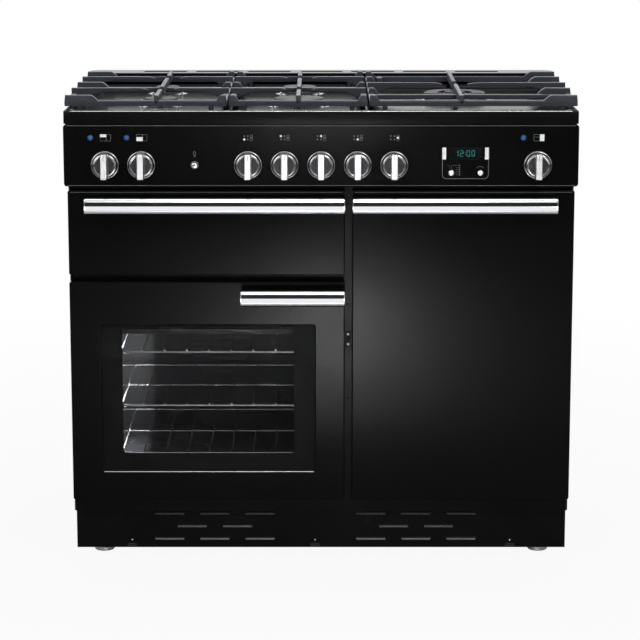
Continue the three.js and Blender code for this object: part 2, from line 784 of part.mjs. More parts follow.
function addDoors() {
  const grill = new THREE.Group();
  grill.position.set(grillDoor.x, doorFace, grillDoor.z);
  grill.add(part("grill_door_outer", doorTray(grillDoor, "below"), blackGloss));
  grill.add(part("grill_door_inner", innerPanel(grillDoor), greyEnamel));
  addHandle(grill, "grill_door_handle", grillDoor, handleEndInset, grillDoor.width - handleEndInset);

  const oven = new THREE.Group();
  oven.position.set(ovenDoor.x, doorFace, ovenDoor.z);
  const windowCut = carryBack(windowOutline(0), -over, doorSkin + over);
  oven.add(part("oven_door_outer", cut(doorTray(ovenDoor, "left"), windowCut), blackGloss));
  const outerGlassFront = doorSkin + fit;
  const outerGlass = carryBack(windowOutline(-glassLap), outerGlassFront, outerGlassFront + glassThickness);
  oven.add(part("oven_door_window", outerGlass, tintedGlass));
  const innerCut = carryBack(windowOutline(innerWindowInset), innerPanelFront - over, doorInnerBack + over);
  const seatDepth = innerPanelFront + glassThickness + fit;
  const paneInset = innerWindowInset - glassLap;
  const seatCut = carryBack(windowOutline(paneInset - fit), innerPanelFront - over, seatDepth);
  const frameOutline = windowOutline(paneInset - fit - innerWall);
  const windowFrame = carryBack(frameOutline, innerPanelFront - 2 * over, doorInnerBack + over);
  oven.add(part("oven_door_inner", cut(innerPanel(ovenDoor, windowFrame), innerCut, seatCut), greyEnamel));
  const innerGlass = carryBack(windowOutline(paneInset), innerPanelFront, innerPanelFront + glassThickness);
  oven.add(part("oven_door_inner_glass", innerGlass, tintedGlass));
  addHandle(oven, "oven_door_handle", ovenDoor, ovenDoor.width - ovenHandleLength, ovenHandleLength);

  const tall = new THREE.Group();
  tall.position.set(tallDoor.x, doorFace, tallDoor.z);
  tall.add(part("tall_door_outer", doorTray(tallDoor, "right"), blackGloss));
  tall.add(part("tall_door_inner", innerPanel(tallDoor), greyEnamel));
  addHandle(tall, "tall_door_handle", tallDoor, 0, tallDoor.width - handleEndInset);
  cooker.add(grill, oven, tall);
}

function addHandle(group, name, door, x, length) {
  const z = door.height - handleDrop - handleHeight;
  const bar = handleBar(length, [0, length - handlePost]);
  group.add(part(name, bar, chrome, [x, 0, z]));
}

// ---- Control panel -----------------------------------------------------------------------
function controlPanel() {
  const half = panelWidth / 2;
  const radii = [panelCorner, panelCorner, 0, 0];
  const depth = frameFace - fit;
  const shell = cut(
    carryBack(rectangle(-half, half, panelBottom, panelTop, radii), 0, depth),
    box(-half + sheet, half - sheet, sheet, depth + over, panelBottom + sheet, panelTop - sheet),
  );
  const bezels = knobPlaces.map((x) =>
    cut(
      rod("y", bezelRadius, -bezelHeight, over, [x, knobHeight], roundSides),
      rod("y", knobRadius + knobGap, -bezelHeight - over, 0, [x, knobHeight], roundSides),
    ),
  );
  const added = [shell, ...bezels];
  const holes = [];
  knobPlaces.forEach((x, i) => {
    const radius = spindle / 2 + runFit;
    if (gasKnobs.includes(i)) {
      holes.push(rod("y", radius, -over, sheet + over, [x, knobHeight]));
    } else {
      added.push(rod("y", switchRadius, sheet - over, switchBack, [x, knobHeight]));
      holes.push(rod("y", radius, -over, switchBack - sheet, [x, knobHeight]));
    }
  });
  for (const { x } of timerKnobs) {
    added.push(rod("y", timerBossRadius, sheet - over, sheet + timerBossDepth, [x, timerKnobHeight]));
    holes.push(rod("y", timerShaft / 2 + runFit, -over, timerShaftLength + over, [x, timerKnobHeight]));
  }
  added.push(rod("y", timerBossRadius, sheet - over, sheet + timerBossDepth, [lightButtonX, knobHeight]));
  holes.push(rod("y", timerShaft / 2 + runFit, -over, timerShaftLength + over, [lightButtonX, knobHeight]));
  return cut(join(added), ...holes);
}

// A dished disc with a grip bar across it; what carries it is a bore or a shaft of its own.
function knob(onTap) {
  const face = knobDiscBack + knobDiscDepth;
  const disc = turnedForward([
    [0, knobDiscBack], [knobRadius - edge, knobDiscBack], [knobRadius, knobDiscBack + edge],
    [knobRadius, face - knobEdge], [knobRadius - knobEdge, face], [0, face],
  ]);
  const outline = rectangle(-gripWidth / 2, gripWidth / 2, -gripLength / 2, gripLength / 2, four(gripRound));
  const grip = carryBack(outline, -gripFront, -face + over, 1);
  const body = join(disc, grip);
  if (onTap) return cut(body, rod("y", spindle / 2 + runFit, -knobDiscBack - spindleReach, 0, [0, 0]));
  return join(body, rod("y", spindle / 2, -knobDiscBack - over, switchBack - 2 * sheet, [0, 0]));
}

function addControls() {
  cooker.add(part("control_panel", controlPanel(), blackGloss));
  knobPlaces.forEach((x, i) => {
    const onTap = gasKnobs.includes(i);
    cooker.add(part(`knob_${i + 1}`, knob(onTap), satinSilver, [x, 0, knobHeight]));
    if (!onTap) return;
    const front = -knobDiscBack - spindleReach + fit;
    const shaft = rod("y", spindle / 2, front, tapBoreEnd - tapPush - tapSpare, [0, 0]);
    cooker.add(part(`tap_spindle_${i + 1}`, shaft, brass, [x, 0, knobHeight]));
  });
  for (const { name, x } of timerKnobs) {
    const body = join(
      turnedForward([[0, fit], [timerKnobRadius, fit], [timerKnobRadius, timerKnobDepth - edge],
        [timerKnobRadius - edge, timerKnobDepth], [0, timerKnobDepth]], pinSides),
      rod("y", timerShaft / 2, -over, timerShaftLength, [0, 0]),
    );
    cooker.add(part(name, body, satinSilver, [x, 0, timerKnobHeight]));
  }
  const button = join(
    rod("y", timerKnobRadius, -lightButtonPush - fit - lightButtonCap, -lightButtonPush - fit, [0, 0]),
    rod("y", timerShaft / 2, -lightButtonPush - over, timerShaftLength - lightButtonPush, [0, 0]),
  );
  cooker.add(part("light_button", button, chrome, [lightButtonX, 0, knobHeight]));
  cooker.add(part("gas_rail", gasRail(), zincSteel));
}

// The gas rail with a tap for each hob burner, hung on the back of the chassis frame.
function gasRail() {
  const half = railLength / 2;
  const pieces = [rod("x", railRadius, -half, half, [railBehindFace, knobHeight])];
  const bores = [];
  for (const i of gasKnobs) {
    const at = [knobPlaces[i], knobHeight];
    pieces.push(rod("y", tapRadius, tapFront, railBehindFace, at));
    bores.push(rod("y", spindle / 2 + runFit, tapFront - over, tapBoreEnd, at));
  }
  for (const side of [-1, 1]) {
    const x = side * (half - railBracketWidth);
    const y1 = railBehindFace;
    const bracketHalf = railBracketWidth / 2;
    pieces.push(box(x - bracketHalf, x + bracketHalf, behindFrame, y1, railBracketBottom, knobHeight));
  }
  return cut(join(pieces), ...bores);
}

// ---- Hob ---------------------------------------------------------------------------------
// A plan outline of the hob's width with its corners cut off: front, back or both.
function chamfered(y0, y1, half, atFront, atBack) {
  const corners = [
    [-half + atFront, y0], [half - atFront, y0], [half, y0 + atFront], [half, y1 - atBack],
    [half - atBack, y1], [-half + atBack, y1], [-half, y1 - atBack], [-half, y0 + atFront],
  ];
  const points = corners.map(([x, y]) => new THREE.Vector2(x, y));
  return new THREE.Shape(points.filter((point, i) => !point.equals(points[(i + 1) % points.length])));
}

// The hob top: a rim round a spill area, folded down and in again to rest on the cabinet.
function hobTray() {
  const half = panelWidth / 2;
  const well = hobTop - hobWell;
  const whole = raise(chamfered(0, hobDepth, half, hobCorner, 0), hobBottom, hobTop);
  const spill = rectangle(-half + hobRim, half - hobRim, hobRim, hobDepth - hobRim, four(hobWellCorner));
  const under = chamfered(sheet, hobDepth - sheet, half - sheet, hobCorner, 0);
  const mouth = chamfered(hobFold, hobDepth - hobFold, half - hobFold, hobCorner, 0);
  const holes = burners.map(({ x, y, radius }) =>
    rod("z", radius - burnerCupInset + fit, well - 2 * sheet, well + over, [x, y], roundSides),
  );
  return cut(
    whole,
    raise(spill, well, hobTop + over),
    raise(under, hobBottom + sheet, well - sheet),
    raise(mouth, hobBottom - over, well - sheet),
    ...holes,
  );
}

// A burner: its cup goes through the hob, its skirt seats on the spill area, and its cap is on top.
function burner(radius) {
  const cup = radius - burnerCupInset;
  const skirt = radius + burnerSkirt;
  const neck = radius - burnerNeck;
  const top = burnerCapHeight;
  return turned([
    [0, -burnerCupDepth], [cup, -burnerCupDepth], [cup, fit], [skirt, fit],
    [skirt, burnerSkirtEdge], [neck, burnerSkirtHeight], [neck, top - burnerCapEdge],
    [radius, top - burnerCapEdge], [radius, top - burnerNeck], [neck, top], [0, top],
  ]);
}

// A cast pan support round one or two burners. x0 and x1 are its sides; bars reach in to each
// burner from the sides, and one bar from front to back goes over or between the burners.
function panSupport({ x0, x1, served, lugs, crossRail }) {
  const y0 = supportFront;
  const y1 = supportBack;
  const w = railWidth;
  const ring = cut(
    box(x0, x1, y0, y1, railBottom, railTop),
    box(x0 + w, x1 - w, y0 + w, y1 - w, railBottom - over, railTop + over),
  );
  const cross = box(x0 + over, x1 - over, crossRail - w / 2, crossRail + w / 2, railBottom + over, railTop - over);
  const pieces = [ring, cross];
  const finger = fingerWidth / 2;
  const stops = [y0];
  for (const { x, y } of served) {
    pieces.push(box(x0, x - flameGap, y - finger, y + finger, fingerBottom, supportTop));
    pieces.push(box(x + flameGap, x1, y - finger, y + finger, fingerBottom, supportTop));
    pieces.push(box(x0, x0 + railWidth, y - finger, y + finger, railBottom, supportTop));
    pieces.push(box(x1 - railWidth, x1, y - finger, y + finger, railBottom, supportTop));
    stops.push(y - flameGap, y + flameGap);
  }
  stops.push(y1);
  const middle = served[0].x;
  for (let i = 0; i < stops.length; i += 2) {
    const [from, to] = [stops[i], stops[i + 1]];
    pieces.push(box(middle - finger, middle + finger, from, to, fingerBottom, supportTop));
    const [left, right] = [middle - finger, middle + finger];
    if (from === y0) pieces.push(box(left, right, from, from + railWidth, railBottom, supportTop));
    if (to === y1) pieces.push(box(left, right, to - railWidth, to, railBottom, supportTop));
  }
  for (const { y, left, right } of lugs) {
    pieces.push(box(x0, x0 + left, y - lugHalf, y + lugHalf, railBottom, supportTop));
    pieces.push(box(x1 - right, x1, y - lugHalf, y + lugHalf, railBottom, supportTop));
  }
  for (const x of [x0 + supportFootInset, x1 - supportFootInset]) {
    for (const y of [y0 + railWidth / 2, y1 - supportFootInset]) {
      pieces.push(rod("z", supportFootRadius, hobTop - hobWell + fit, railBottom + over, [x, y], 8));
    }
    const armFront = y1 - supportFootInset - lugHalf;
    pieces.push(box(x - lugHalf, x + lugHalf, armFront, y1 - over, railBottom, railTop));
  }
  return join(pieces);
}

// The grille behind the hob: a low box, open below, with a row of slots in its top.
function ventTrim() {
  const half = panelWidth / 2;
  const y0 = hobDepth + fit;
  const outer = raise(chamfered(y0, cabinetBack, half, 0, hobCorner), hobBottom, ventTop);
  const hollow = chamfered(y0 + sheet, cabinetBack - sheet, half - sheet, 0, hobCorner);
  const inner = raise(hollow, hobBottom - over, ventTop - sheet);
  const middle = (y0 + cabinetBack) / 2;
  const slots = [];
  for (let i = 0; i < ventSlots; i += 1) {
    const pitch = ventField / ventSlots;
    const x = -ventField / 2 + i * pitch + ventRib / 2;
    slots.push(
      box(
        x, x + pitch - ventRib, middle - ventSlotWidth / 2, middle + ventSlotWidth / 2,
        ventTop - 2 * sheet, ventTop + over,
      ),
    );
  }
  return cut(outer, inner, ...slots);
}

// ---- Plinth, feet and rollers ------------------------------------------------------------
// The panel below the doors: rows of louvres, staggered, on each half, and a flange at its top.
function plinth() {
  const top = cabinetBottom - fit;
  const plate = join(
    box(-insideHalf, insideHalf, plinthFace, plinthFace + sheet, plinthBottom, top),
    box(-insideHalf, insideHalf, plinthFace, plinthFace + plinthFlange, top - sheet, top),
  );
  const slots = louvreRows.flatMap(({ z, left, count }) =>
    louvreGroups.flatMap((group) =>
      Array.from({ length: count }, (_, i) => {
        const x = group + left + i * louvrePitch;
        return box(
          x - louvreLength / 2, x + louvreLength / 2, plinthFace - over, plinthFace + sheet + over,
          z - louvreHeight / 2, z + louvreHeight / 2,
        );
      }),
    ),
  );
  return cut(plate, ...slots);
}

function addFeet() {
  const stemTop = baseTop + footStemAbove;
  for (const [side, name] of [[-1, "left"], [1, "right"]]) {
    const foot = join(
      turned([
        [0, 0], [footPad / 2, 0], [footPad / 2, footPadHeight - footPadEdge],
        [footPad / 2 - 2 * footPadEdge, footPadHeight], [0, footPadHeight],
      ]),
      rod("z", footStem / 2, footPadHeight - over, stemTop, [0, 0]),
    );
    cooker.add(part(`front_foot_${name}`, foot, zincSteel, [side * footPlace.x, footPlace.y, 0]));
    const wheel = cut(
      rod("x", rollerRadius, -rollerWidth / 2, rollerWidth / 2, [0, 0], roundSides),
      rod("x", rollerPin / 2 + runFit, -rollerWidth, rollerWidth, [0, 0]),
    );
    const place = [side * rollerPlace.x, rollerPlace.y, rollerRadius];
    cooker.add(part(`rear_roller_${name}`, wheel, blackPlastic, place));
  }
}

// ---- The whole cooker --------------------------------------------------------------------
cooker.add(part("side_panel_left", sidePanel(-1), blackSteel));
cooker.add(part("side_panel_right", sidePanel(1), blackSteel));
cooker.add(part("back_panel", backPanel(), zincSteel));
cooker.add(part("base_tray", baseTray(), zincSteel));
cooker.add(part("front_frame", frontFrame(), blackSteel));
cooker.add(part("plinth", plinth(), blackSteel));
const leftLevels = leftShelfHeights.map((rise) => ovenFloor + rise);
const rightLevels = rightShelfHeights.map((rise) => ovenFloor + rise);
const leftLiner = liner(leftCavity, leftLevels.map(ledgeUnder), fanPlaces[0]);
const rightLiner = liner(rightCavity, rightLevels.map(ledgeUnder), fanPlaces[1]);
cooker.add(part("left_oven_liner", leftLiner, greyEnamel));
cooker.add(part("right_oven_liner", rightLiner, greyEnamel));
cooker.add(part("grill_liner", liner(grillCavity, [], null), greyEnamel));
const shelfPlace = (cavity, z) => [middleOf(cavity), behindFrame + shelfFront, z];
leftLevels.forEach((z, i) => {
  const wires = shelf(leftCavity, leftShelfWires);
  cooker.add(part(`left_oven_shelf_${i + 1}`, wires, chrome, shelfPlace(leftCavity, z)));
});
rightLevels.forEach((z, i) => {
  const wires = shelf(rightCavity, rightShelfWires);
  cooker.add(part(`right_oven_shelf_${i + 1}`, wires, chrome, shelfPlace(rightCavity, z)));
});
const elementHeight = grillFloor + grillHeight - elementBelowRoof;
cooker.add(part("grill_element", grillElement(), bareSteel, [middleOf(grillCavity), 0, elementHeight]));
fanPlaces.forEach(([x, z], i) => {
  cooker.add(part(`oven_fan_${i + 1}`, fanWheel(), aluminium, [x, fanFront, z]));
});
addDoors();
addControls();
cooker.add(part("hob_tray", hobTray(), blackGloss));
cooker.add(part("rear_vent_trim", ventTrim(), blackSteel));
for (const { name, x, y, radius } of burners) {
  cooker.add(part(name, burner(radius), blackSteel, [x, y, hobTop - hobWell]));
}
for (const support of panSupports) {
  cooker.add(part(support.name, panSupport(support), castIron));
}
addFeet();

// The origin is on the floor under the middle of the cooker's outline.
cooker.position.y = -(cabinetBack - handleFront) / 2;

export default cooker;
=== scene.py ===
"""Range cooker with two ovens and a grill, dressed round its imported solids. Front to -Y, +Z up. Shapes are worked out
in millimetres: corners() reads them so, and piece() puts them into the scene in metres."""
import math

import bpy
import numpy as np
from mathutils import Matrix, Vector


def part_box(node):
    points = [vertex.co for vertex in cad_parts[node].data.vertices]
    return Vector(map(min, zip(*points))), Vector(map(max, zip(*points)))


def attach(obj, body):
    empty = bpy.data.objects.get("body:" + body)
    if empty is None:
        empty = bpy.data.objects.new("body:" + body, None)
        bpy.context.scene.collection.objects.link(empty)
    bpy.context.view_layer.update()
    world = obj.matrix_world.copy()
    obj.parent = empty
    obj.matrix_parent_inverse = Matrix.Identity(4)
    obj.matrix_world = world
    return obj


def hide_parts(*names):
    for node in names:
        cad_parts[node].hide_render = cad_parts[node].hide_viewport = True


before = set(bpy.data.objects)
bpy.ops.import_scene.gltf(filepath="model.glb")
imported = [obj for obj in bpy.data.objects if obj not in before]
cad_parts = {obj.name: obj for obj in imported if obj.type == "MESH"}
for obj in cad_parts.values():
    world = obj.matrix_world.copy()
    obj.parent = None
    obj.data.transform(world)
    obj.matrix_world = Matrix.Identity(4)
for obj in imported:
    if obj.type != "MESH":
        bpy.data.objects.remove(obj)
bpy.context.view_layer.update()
MM = 0.001

# ---- Mesh tools ----
ACROSS = {"x": (1, 2), "y": (0, 2), "z": (0, 1)}  # the two directions across an axis


def rounded(u0, u1, v0, v1, radius, steps=4, straight=False):
    """Outline of a rectangle, anticlockwise: four quarter circles of one radius, joined by straight sides, or
    four corners cut off straight."""
    r = max(min(radius, (u1 - u0) / 2.001, (v1 - v0) / 2.001), 0.01)
    quarter = np.linspace(0, np.pi / 2, steps + 1)
    middles = ((u1 - r, v0 + r), (u1 - r, v1 - r), (u0 + r, v1 - r), (u0 + r, v0 + r))
    arcs = []
    for i, (cu, cv) in enumerate(middles):
        turn = quarter + (i - 1) * np.pi / 2
        points = np.stack([cu + r * np.cos(turn), cv + r * np.sin(turn)], axis=1)
        if straight:
            points = points[0] + (points[-1] - points[0]) * np.linspace(0, 1, steps + 1)[:, None]
        arcs.append(points)
    return np.concatenate(arcs)


def stand(outline, height, axis):
    """Outline (u, v) put in space: height goes along the axis, u and v along the other two in X, Y, Z order."""
    return np.insert(np.asarray(outline, dtype=float), "xyz".index(axis), height, axis=1)


def ring(low, high, axis, height, inset, corner, steps=4, straight=False):
    """Rounded outline of a box seen along an axis, drawn in by an inset on each side, at a height along the axis."""
    u, v = ACROSS[axis]
    ends = (low[u] + inset, high[u] - inset, low[v] + inset, high[v] - inset)
    return stand(rounded(*ends, corner, steps, straight), height, axis)


def nested(low, high, axis, rows, corner, least=0.6, steps=4):
    """Rounded outlines of a box for rows of (height, inset), the corner's radius less by the inset."""
    return [ring(low, high, axis, h, inset, max(corner - inset, least), steps) for h, inset in rows]


def signed_volume(vertices, faces):
    """Sum over all faces, cut into fans, of a . (b x c) / 6: negative where the skin is inside out."""
    total = 0.0
    for face in faces:
        fan = np.cross(vertices[face[1:-1]], vertices[face[2:]])
        total += np.einsum("i,ji->", vertices[face[0]], fan)
    return total / 6


def loft(rings, closed=False):
    """Skin over rings of equal length: quads from each ring to the next. An open row of rings gets a flat
    face at each end, and a closed row joins its last ring to its first."""
    rings = np.asarray(rings, dtype=float)
    index = np.arange(rings.size // 3).reshape(rings.shape[:2])
    low = index if closed else index[:-1]
    high = np.roll(index, -1, axis=0) if closed else index[1:]
    quads = np.stack([low, np.roll(low, -1, axis=1), np.roll(high, -1, axis=1), high], axis=-1)
    faces = quads.reshape(-1, 4).tolist()
    if not closed:
        faces += [index[0][::-1].tolist(), index[-1].tolist()]
    vertices = rings.reshape(-1, 3)
    if signed_volume(vertices, faces) < 0:
        faces = [face[::-1] for face in faces]
    return vertices, faces


def merged(meshes):
    """Several meshes as one: the vertex numbers of each are moved on by the vertices before it."""
    faces, start = [], 0
    for points, polygons in meshes:
        faces += [[i + start for i in face] for face in polygons]
        start += len(points)
    return np.concatenate([points for points, _ in meshes]), faces


def over_edge(end, edge, steps=3):
    """Rows of (height, inset) over a quarter circle that starts one radius short of an end and comes down on it.
    The edge is the radius, with a minus where the end is the upper one."""
    turn = np.linspace(0, np.pi / 2, steps + 1)
    return [(end + edge * (1 - math.sin(t)), abs(edge) * (1 - math.cos(t))) for t in turn]


def block(low, high, edge, corner, axis="z", steps=2, corner_steps=3):
    """A bar or plate with rounded edges: rounded outlines along the axis, drawn in round a quarter circle at both
    ends."""
    k = "xyz".index(axis)
    rows = over_edge(low[k], edge, steps)[::-1] + over_edge(high[k], -edge, steps)
    return loft(nested(low, high, axis, rows, corner, edge * 0.3, corner_steps))


def long_bar(low, high, inset, y0, y1, z0, z1, edge):
    """A thin bar along a box's front, its ends drawn in by an inset. Depths count back from the box's front."""
    return block((low[0] + inset, low[1] + y0, z0), (high[0] - inset, low[1] + y1, z1), edge, edge, "x")


def circle(radius, sides):
    """Points round a circle, anticlockwise."""
    angle = np.linspace(0, 2 * np.pi, sides, endpoint=False)
    return radius * np.stack([np.cos(angle), np.sin(angle)], axis=1)


def arc(centre, radius, start, end, steps=6):
    """Points of a circular arc, angles in degrees, as (u, v) rows."""
    turn = np.radians(np.linspace(start, end, steps + 1))
    return [(centre[0] + radius * math.cos(t), centre[1] + radius * math.sin(t)) for t in turn]


def turned(profile, centre, axis="y", sides=48, closed=False):
    """A profile of (radius, height) turned round an axis through the centre. Heights go along the axis, and a
    closed profile makes a ring."""
    return loft([stand(circle(r, sides), h, axis) + np.asarray(centre) for r, h in profile], closed)


def swept(section, path, up=(0, 0, 1)):
    """A section (across, up) carried along a path: at each point it stands square to the path's direction."""
    path = np.asarray(path, dtype=float)
    ahead = np.gradient(path, axis=0)
    ahead /= np.linalg.norm(ahead, axis=1, keepdims=True)
    across = np.cross(ahead, up)
    across /= np.linalg.norm(across, axis=1, keepdims=True)
    over = np.cross(across, ahead)
    return loft(path[:, None] + across[:, None] * section[:, :1] + over[:, None] * section[:, 1:])


def placed(name, data):
    """A new object in the scene."""
    obj = bpy.data.objects.new(name, data)
    bpy.context.scene.collection.objects.link(obj)
    return obj


def piece(name, body, material, *meshes, replaces=(), sharp=35):
    """One object of the cooker, made from meshes in its final place, which rides on a body."""
    vertices, faces = merged(meshes)
    mesh = bpy.data.meshes.new(name)
    mesh.from_pydata((vertices * MM).tolist(), [], faces)
    mesh.polygons.foreach_set("use_smooth", [True] * len(mesh.polygons))
    mesh.set_sharp_from_angle(angle=math.radians(sharp))
    mesh.materials.append(material)
    obj = placed(name, mesh)
    obj.modifiers.new("even_normals", "WEIGHTED_NORMAL").keep_sharp = True
    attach(obj, body)
    if replaces:
        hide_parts(*replaces)


def fixed(name, material, *meshes, **more):
    """A piece that stays with the cabinet."""
    piece(name, "cabinet", material, *meshes, **more)


def corners(node):
    """Lowest and highest corner of a node at rest."""
    return np.array(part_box(node)) / MM


def middle(node):
    """Centre of a node's box."""
    return corners(node).mean(axis=0)


# ---- Finishes ----


def feed(node, inputs):
    """Give a node's inputs a value each, or another node's output to follow."""
    for key, value in inputs.items():
        if isinstance(value, bpy.types.NodeSocket):
            node.id_data.links.new(value, node.inputs[key])
        else:
            node.inputs[key].default_value = value


def add(tree, kind, inputs, **settings):
    """Outputs of a new shader node with its settings and inputs."""
    node = tree.nodes.new("ShaderNode" + kind)
    for key, value in settings.items():
        setattr(node, key, value)
    feed(node, inputs)
    return node.outputs


def blend(tree, share, first, second, output):
    """Two shaders mixed by a share, fed to an output node."""
    mix = add(tree, "MixShader", {"Fac": share, 1: first, 2: second})
    feed(tree.nodes[output], {"Surface": mix["Shader"]})


def finish(name, colour, roughness, metallic=0, specular=0.5, mottle=None, bump=None, spread=0.05):
    """A surface finish. mottle (scale, amount) varies the colour with soft noise, bump (scale, height in mm) roughens
    the surface, and spread is how far the roughness wanders either side of its value. All noise lies on the
    object's own coordinates."""
    material = bpy.data.materials.new(name)
    material.use_nodes = True
    tree = material.node_tree
    shader = tree.nodes["Principled BSDF"]
    feed(shader, {"Base Color": (*colour, 1), "Roughness": roughness})
    feed(shader, {"Metallic": metallic, "Specular IOR Level": specular})
    place = add(tree, "TexCoord", {})["Object"]

    def noise(scale, detail):
        return add(tree, "TexNoise", {"Scale": scale, "Detail": detail, "Vector": place})["Fac"]

    if mottle:
        scale, amount = mottle
        darker = [c * (1 - amount) for c in colour]
        lighter = [min(c * (1 + amount) + 0.02 * amount, 1) for c in colour]
        shades = {"A": (*darker, 1), "B": (*lighter, 1), "Factor": noise(scale, 4)}
        mix = add(tree, "Mix", shades, data_type="RGBA")
        feed(shader, {"Base Color": mix["Result"]})
    ends = {"From Min": 0.3, "From Max": 0.7, "To Min": max(roughness - spread, 0.01), "To Max": roughness + spread}
    span = add(tree, "MapRange", {**ends, "Value": noise(9, 5)})
    feed(shader, {"Roughness": span["Result"]})
    if bump:
        scale, height = bump
        relief = add(tree, "Bump", {"Strength": 0.5, "Distance": height * MM, "Height": noise(scale, 3)})
        feed(shader, {"Normal": relief["Normal"]})
    return material


def glowing(name, colour, strength):
    """A lit lamp or display segment: a glossy cover with light of one colour behind it."""
    material = finish(name, colour, 0.2)
    shader = material.node_tree.nodes["Principled BSDF"]
    feed(shader, {"Emission Color": (*colour, 1), "Emission Strength": strength})
    return material


def tinted(name, colour, clear):
    """Flat glass with a dark tint: part of the light goes straight through, the rest is a dark gloss."""
    material = finish(name, colour, 0.03, specular=0.04, spread=0.01)
    feed(material.node_tree.nodes["Principled BSDF"], {"Alpha": 1 - clear})
    material.surface_render_method = "DITHERED"
    return material


# Name, colour, roughness, metallic, specular, mottle, bump and spread
black_gloss = finish("black_gloss_enamel", (0.0018, 0.0018, 0.002), 0.12, 0, 0.065, (3, 0.05), (3, 0.1), 0.02)
hob_gloss = finish("hob_enamel", (0.0022, 0.0022, 0.0025), 0.13, 0, 0.08, (6, 0.06), (3, 0.03), 0.02)
black_satin = finish("black_satin_enamel", (0.0022, 0.0022, 0.0025), 0.24, 0, 0.07, (25, 0.06), (600, 0.06))
side_black = finish("side_enamel", (0.006, 0.006, 0.0066), 0.34, 0, 0.35, (40, 0.1), (500, 0.06), 0.03)
black_sheet = finish("black_sheet", (0.008, 0.008, 0.009), 0.38, 0, 0.5, (30, 0.2), (900, 0.06))
black_matt = finish("black_matt", (0.003, 0.003, 0.0033), 0.5, 0, 0.15, (50, 0.3), (700, 0.1), 0.06)
iron = finish("iron_enamel", (0.03, 0.034, 0.042), 0.52, 0, 0.22, (80, 0.2), (420, 0.3))
oven_enamel = finish("oven_enamel", (0.035, 0.036, 0.04), 0.3, 0, 0.5, (1400, 0.9), (200, 0.08))
burner_black = finish("burner_cap_enamel", (0.015, 0.015, 0.016), 0.6, 0, 0.12, (90, 0.2), (500, 0.1))
# Black rubber for the door seals and roller tyres; the same black also lies as flat plates of painted shade in the
# vent's slots, the plinth's notches and the frame's holes.
rubber_and_shade = finish("seal_rubber_and_painted_shade", (0.006, 0.006, 0.006), 0.7, 0, 0.2, (200, 0.3), (900, 0.1))
knob_dark = finish("knob_disc_grey", (0.01, 0.01, 0.011), 0.36, 0, 0.3, (80, 0.1), (1200, 0.03))
chrome = finish("polished_chrome", (0.83, 0.84, 0.86), 0.05, 1, 0.5, (20, 0.03), (5, 0.03), 0.02)
smoked_chrome = finish("smoked_chrome", (0.26, 0.26, 0.27), 0.08, 1, 0.5, (20, 0.05), None, 0.03)
shelf_chrome = finish("shelf_chrome", (0.85, 0.86, 0.87), 0.2, 1, 0.5, (90, 0.06))
satin = finish("satin_silver", (0.92, 0.92, 0.93), 0.28, 1, 0.5, (60, 0.03), (1500, 0.01), 0.03)
zinc = finish("zinc_sheet", (0.52, 0.53, 0.54), 0.44, 0.85, 0.5, (140, 0.1), (300, 0.05), 0.02)
alloy = finish("fan_sheet", (0.12, 0.12, 0.125), 0.45, 0.7, 0.5, (60, 0.1), None, 0.08)
brass = finish("tap_brass", (0.72, 0.5, 0.2), 0.3, 1, 0.5, (80, 0.1), None, 0.06)
burner_alloy = finish("burner_alloy", (0.66, 0.66, 0.67), 0.3, 0.9, 0.5, (90, 0.12), (600, 0.1), 0.08)
heater = finish("heater_sheath", (0.16, 0.14, 0.13), 0.45, 0.8, 0.5, (60, 0.35), (300, 0.1), 0.1)
screw_steel = finish("screw_steel", (0.5, 0.5, 0.51), 0.3, 1, 0.5, (300, 0.1), None, 0.08)
mark_white = finish("printed_white", (0.8, 0.81, 0.82), 0.5, 0, 0.5, (200, 0.04), None, 0.04)
# The grey of printed marks, also used for thin strips that are painted highlights along the control panel's edges.
print_and_highlight_grey = finish("printed_and_painted_highlight_grey", (0.16, 0.165, 0.17), 0.5, 0, 0.5, (200, 0.05), None, 0.04)
# Greys for the plinth's louvre hoods, one per row: painted shade, darker in the higher rows, and in the lowest a
# painted reflection of the floor. The lightest also makes the painted highlights near the door tops.
painted_light_grey = finish("louvre_hoods_and_door_edges_painted_light", (0.1, 0.1, 0.105), 0.4, 0, 0.5, (60, 0.15), None, 0.06)
half_shade_grey = finish("louvre_hoods_painted_half_shade", (0.05, 0.05, 0.053), 0.4, 0, 0.5, (60, 0.15), None, 0.06)
deep_shade_grey = finish("louvre_hoods_painted_deep_shade", (0.014, 0.014, 0.015), 0.4, 0, 0.3, (60, 0.15), None, 0.06)
dark_glass = finish("display_glass", (0.002, 0.003, 0.003), 0.06, 0, 0.2, spread=0.02)
neon_blue = glowing("lamp_blue", (0.001, 0.05, 0.2), 0.3)
display_teal = glowing("display_digits", (0.008, 0.12, 0.105), 0.75)
window_glass = tinted("window_glass", (0.002, 0.002, 0.0025), 0.8)
inner_glass = tinted("inner_glass", (0.01, 0.01, 0.01), 0.9)

# ---- Camera and studio, in metres ----
# The photograph looks down a little from the front. The camera stands on the cooker's middle line, its place
# measured from the control panel's face.
CAMERA_DISTANCE = 4.7
CAMERA_HEIGHT = 1.426
CAMERA_SIDE = -0.0021
CAMERA_PITCH = math.radians(11.20)
FRAME_PIXELS = 640
FOCAL_PIXELS = 2453.0
SENSOR = 36.0

BEZEL_HEIGHT = 6
panel_low, panel_high = corners("control_panel")
FACE = panel_low[1] + BEZEL_HEIGHT


def make_camera():
    """Camera at the photograph's viewing angle, its lens worked out for a square frame."""
    data = bpy.data.cameras.new("camera")
    data.lens = FOCAL_PIXELS / FRAME_PIXELS * SENSOR
    data.sensor_width = SENSOR
    data.clip_end = 60
    camera = placed("camera", data)
    camera.location = (CAMERA_SIDE, FACE * MM - CAMERA_DISTANCE, CAMERA_HEIGHT)
    camera.rotation_euler = (math.pi / 2 - CAMERA_PITCH, 0, 0)
    bpy.context.scene.camera = camera


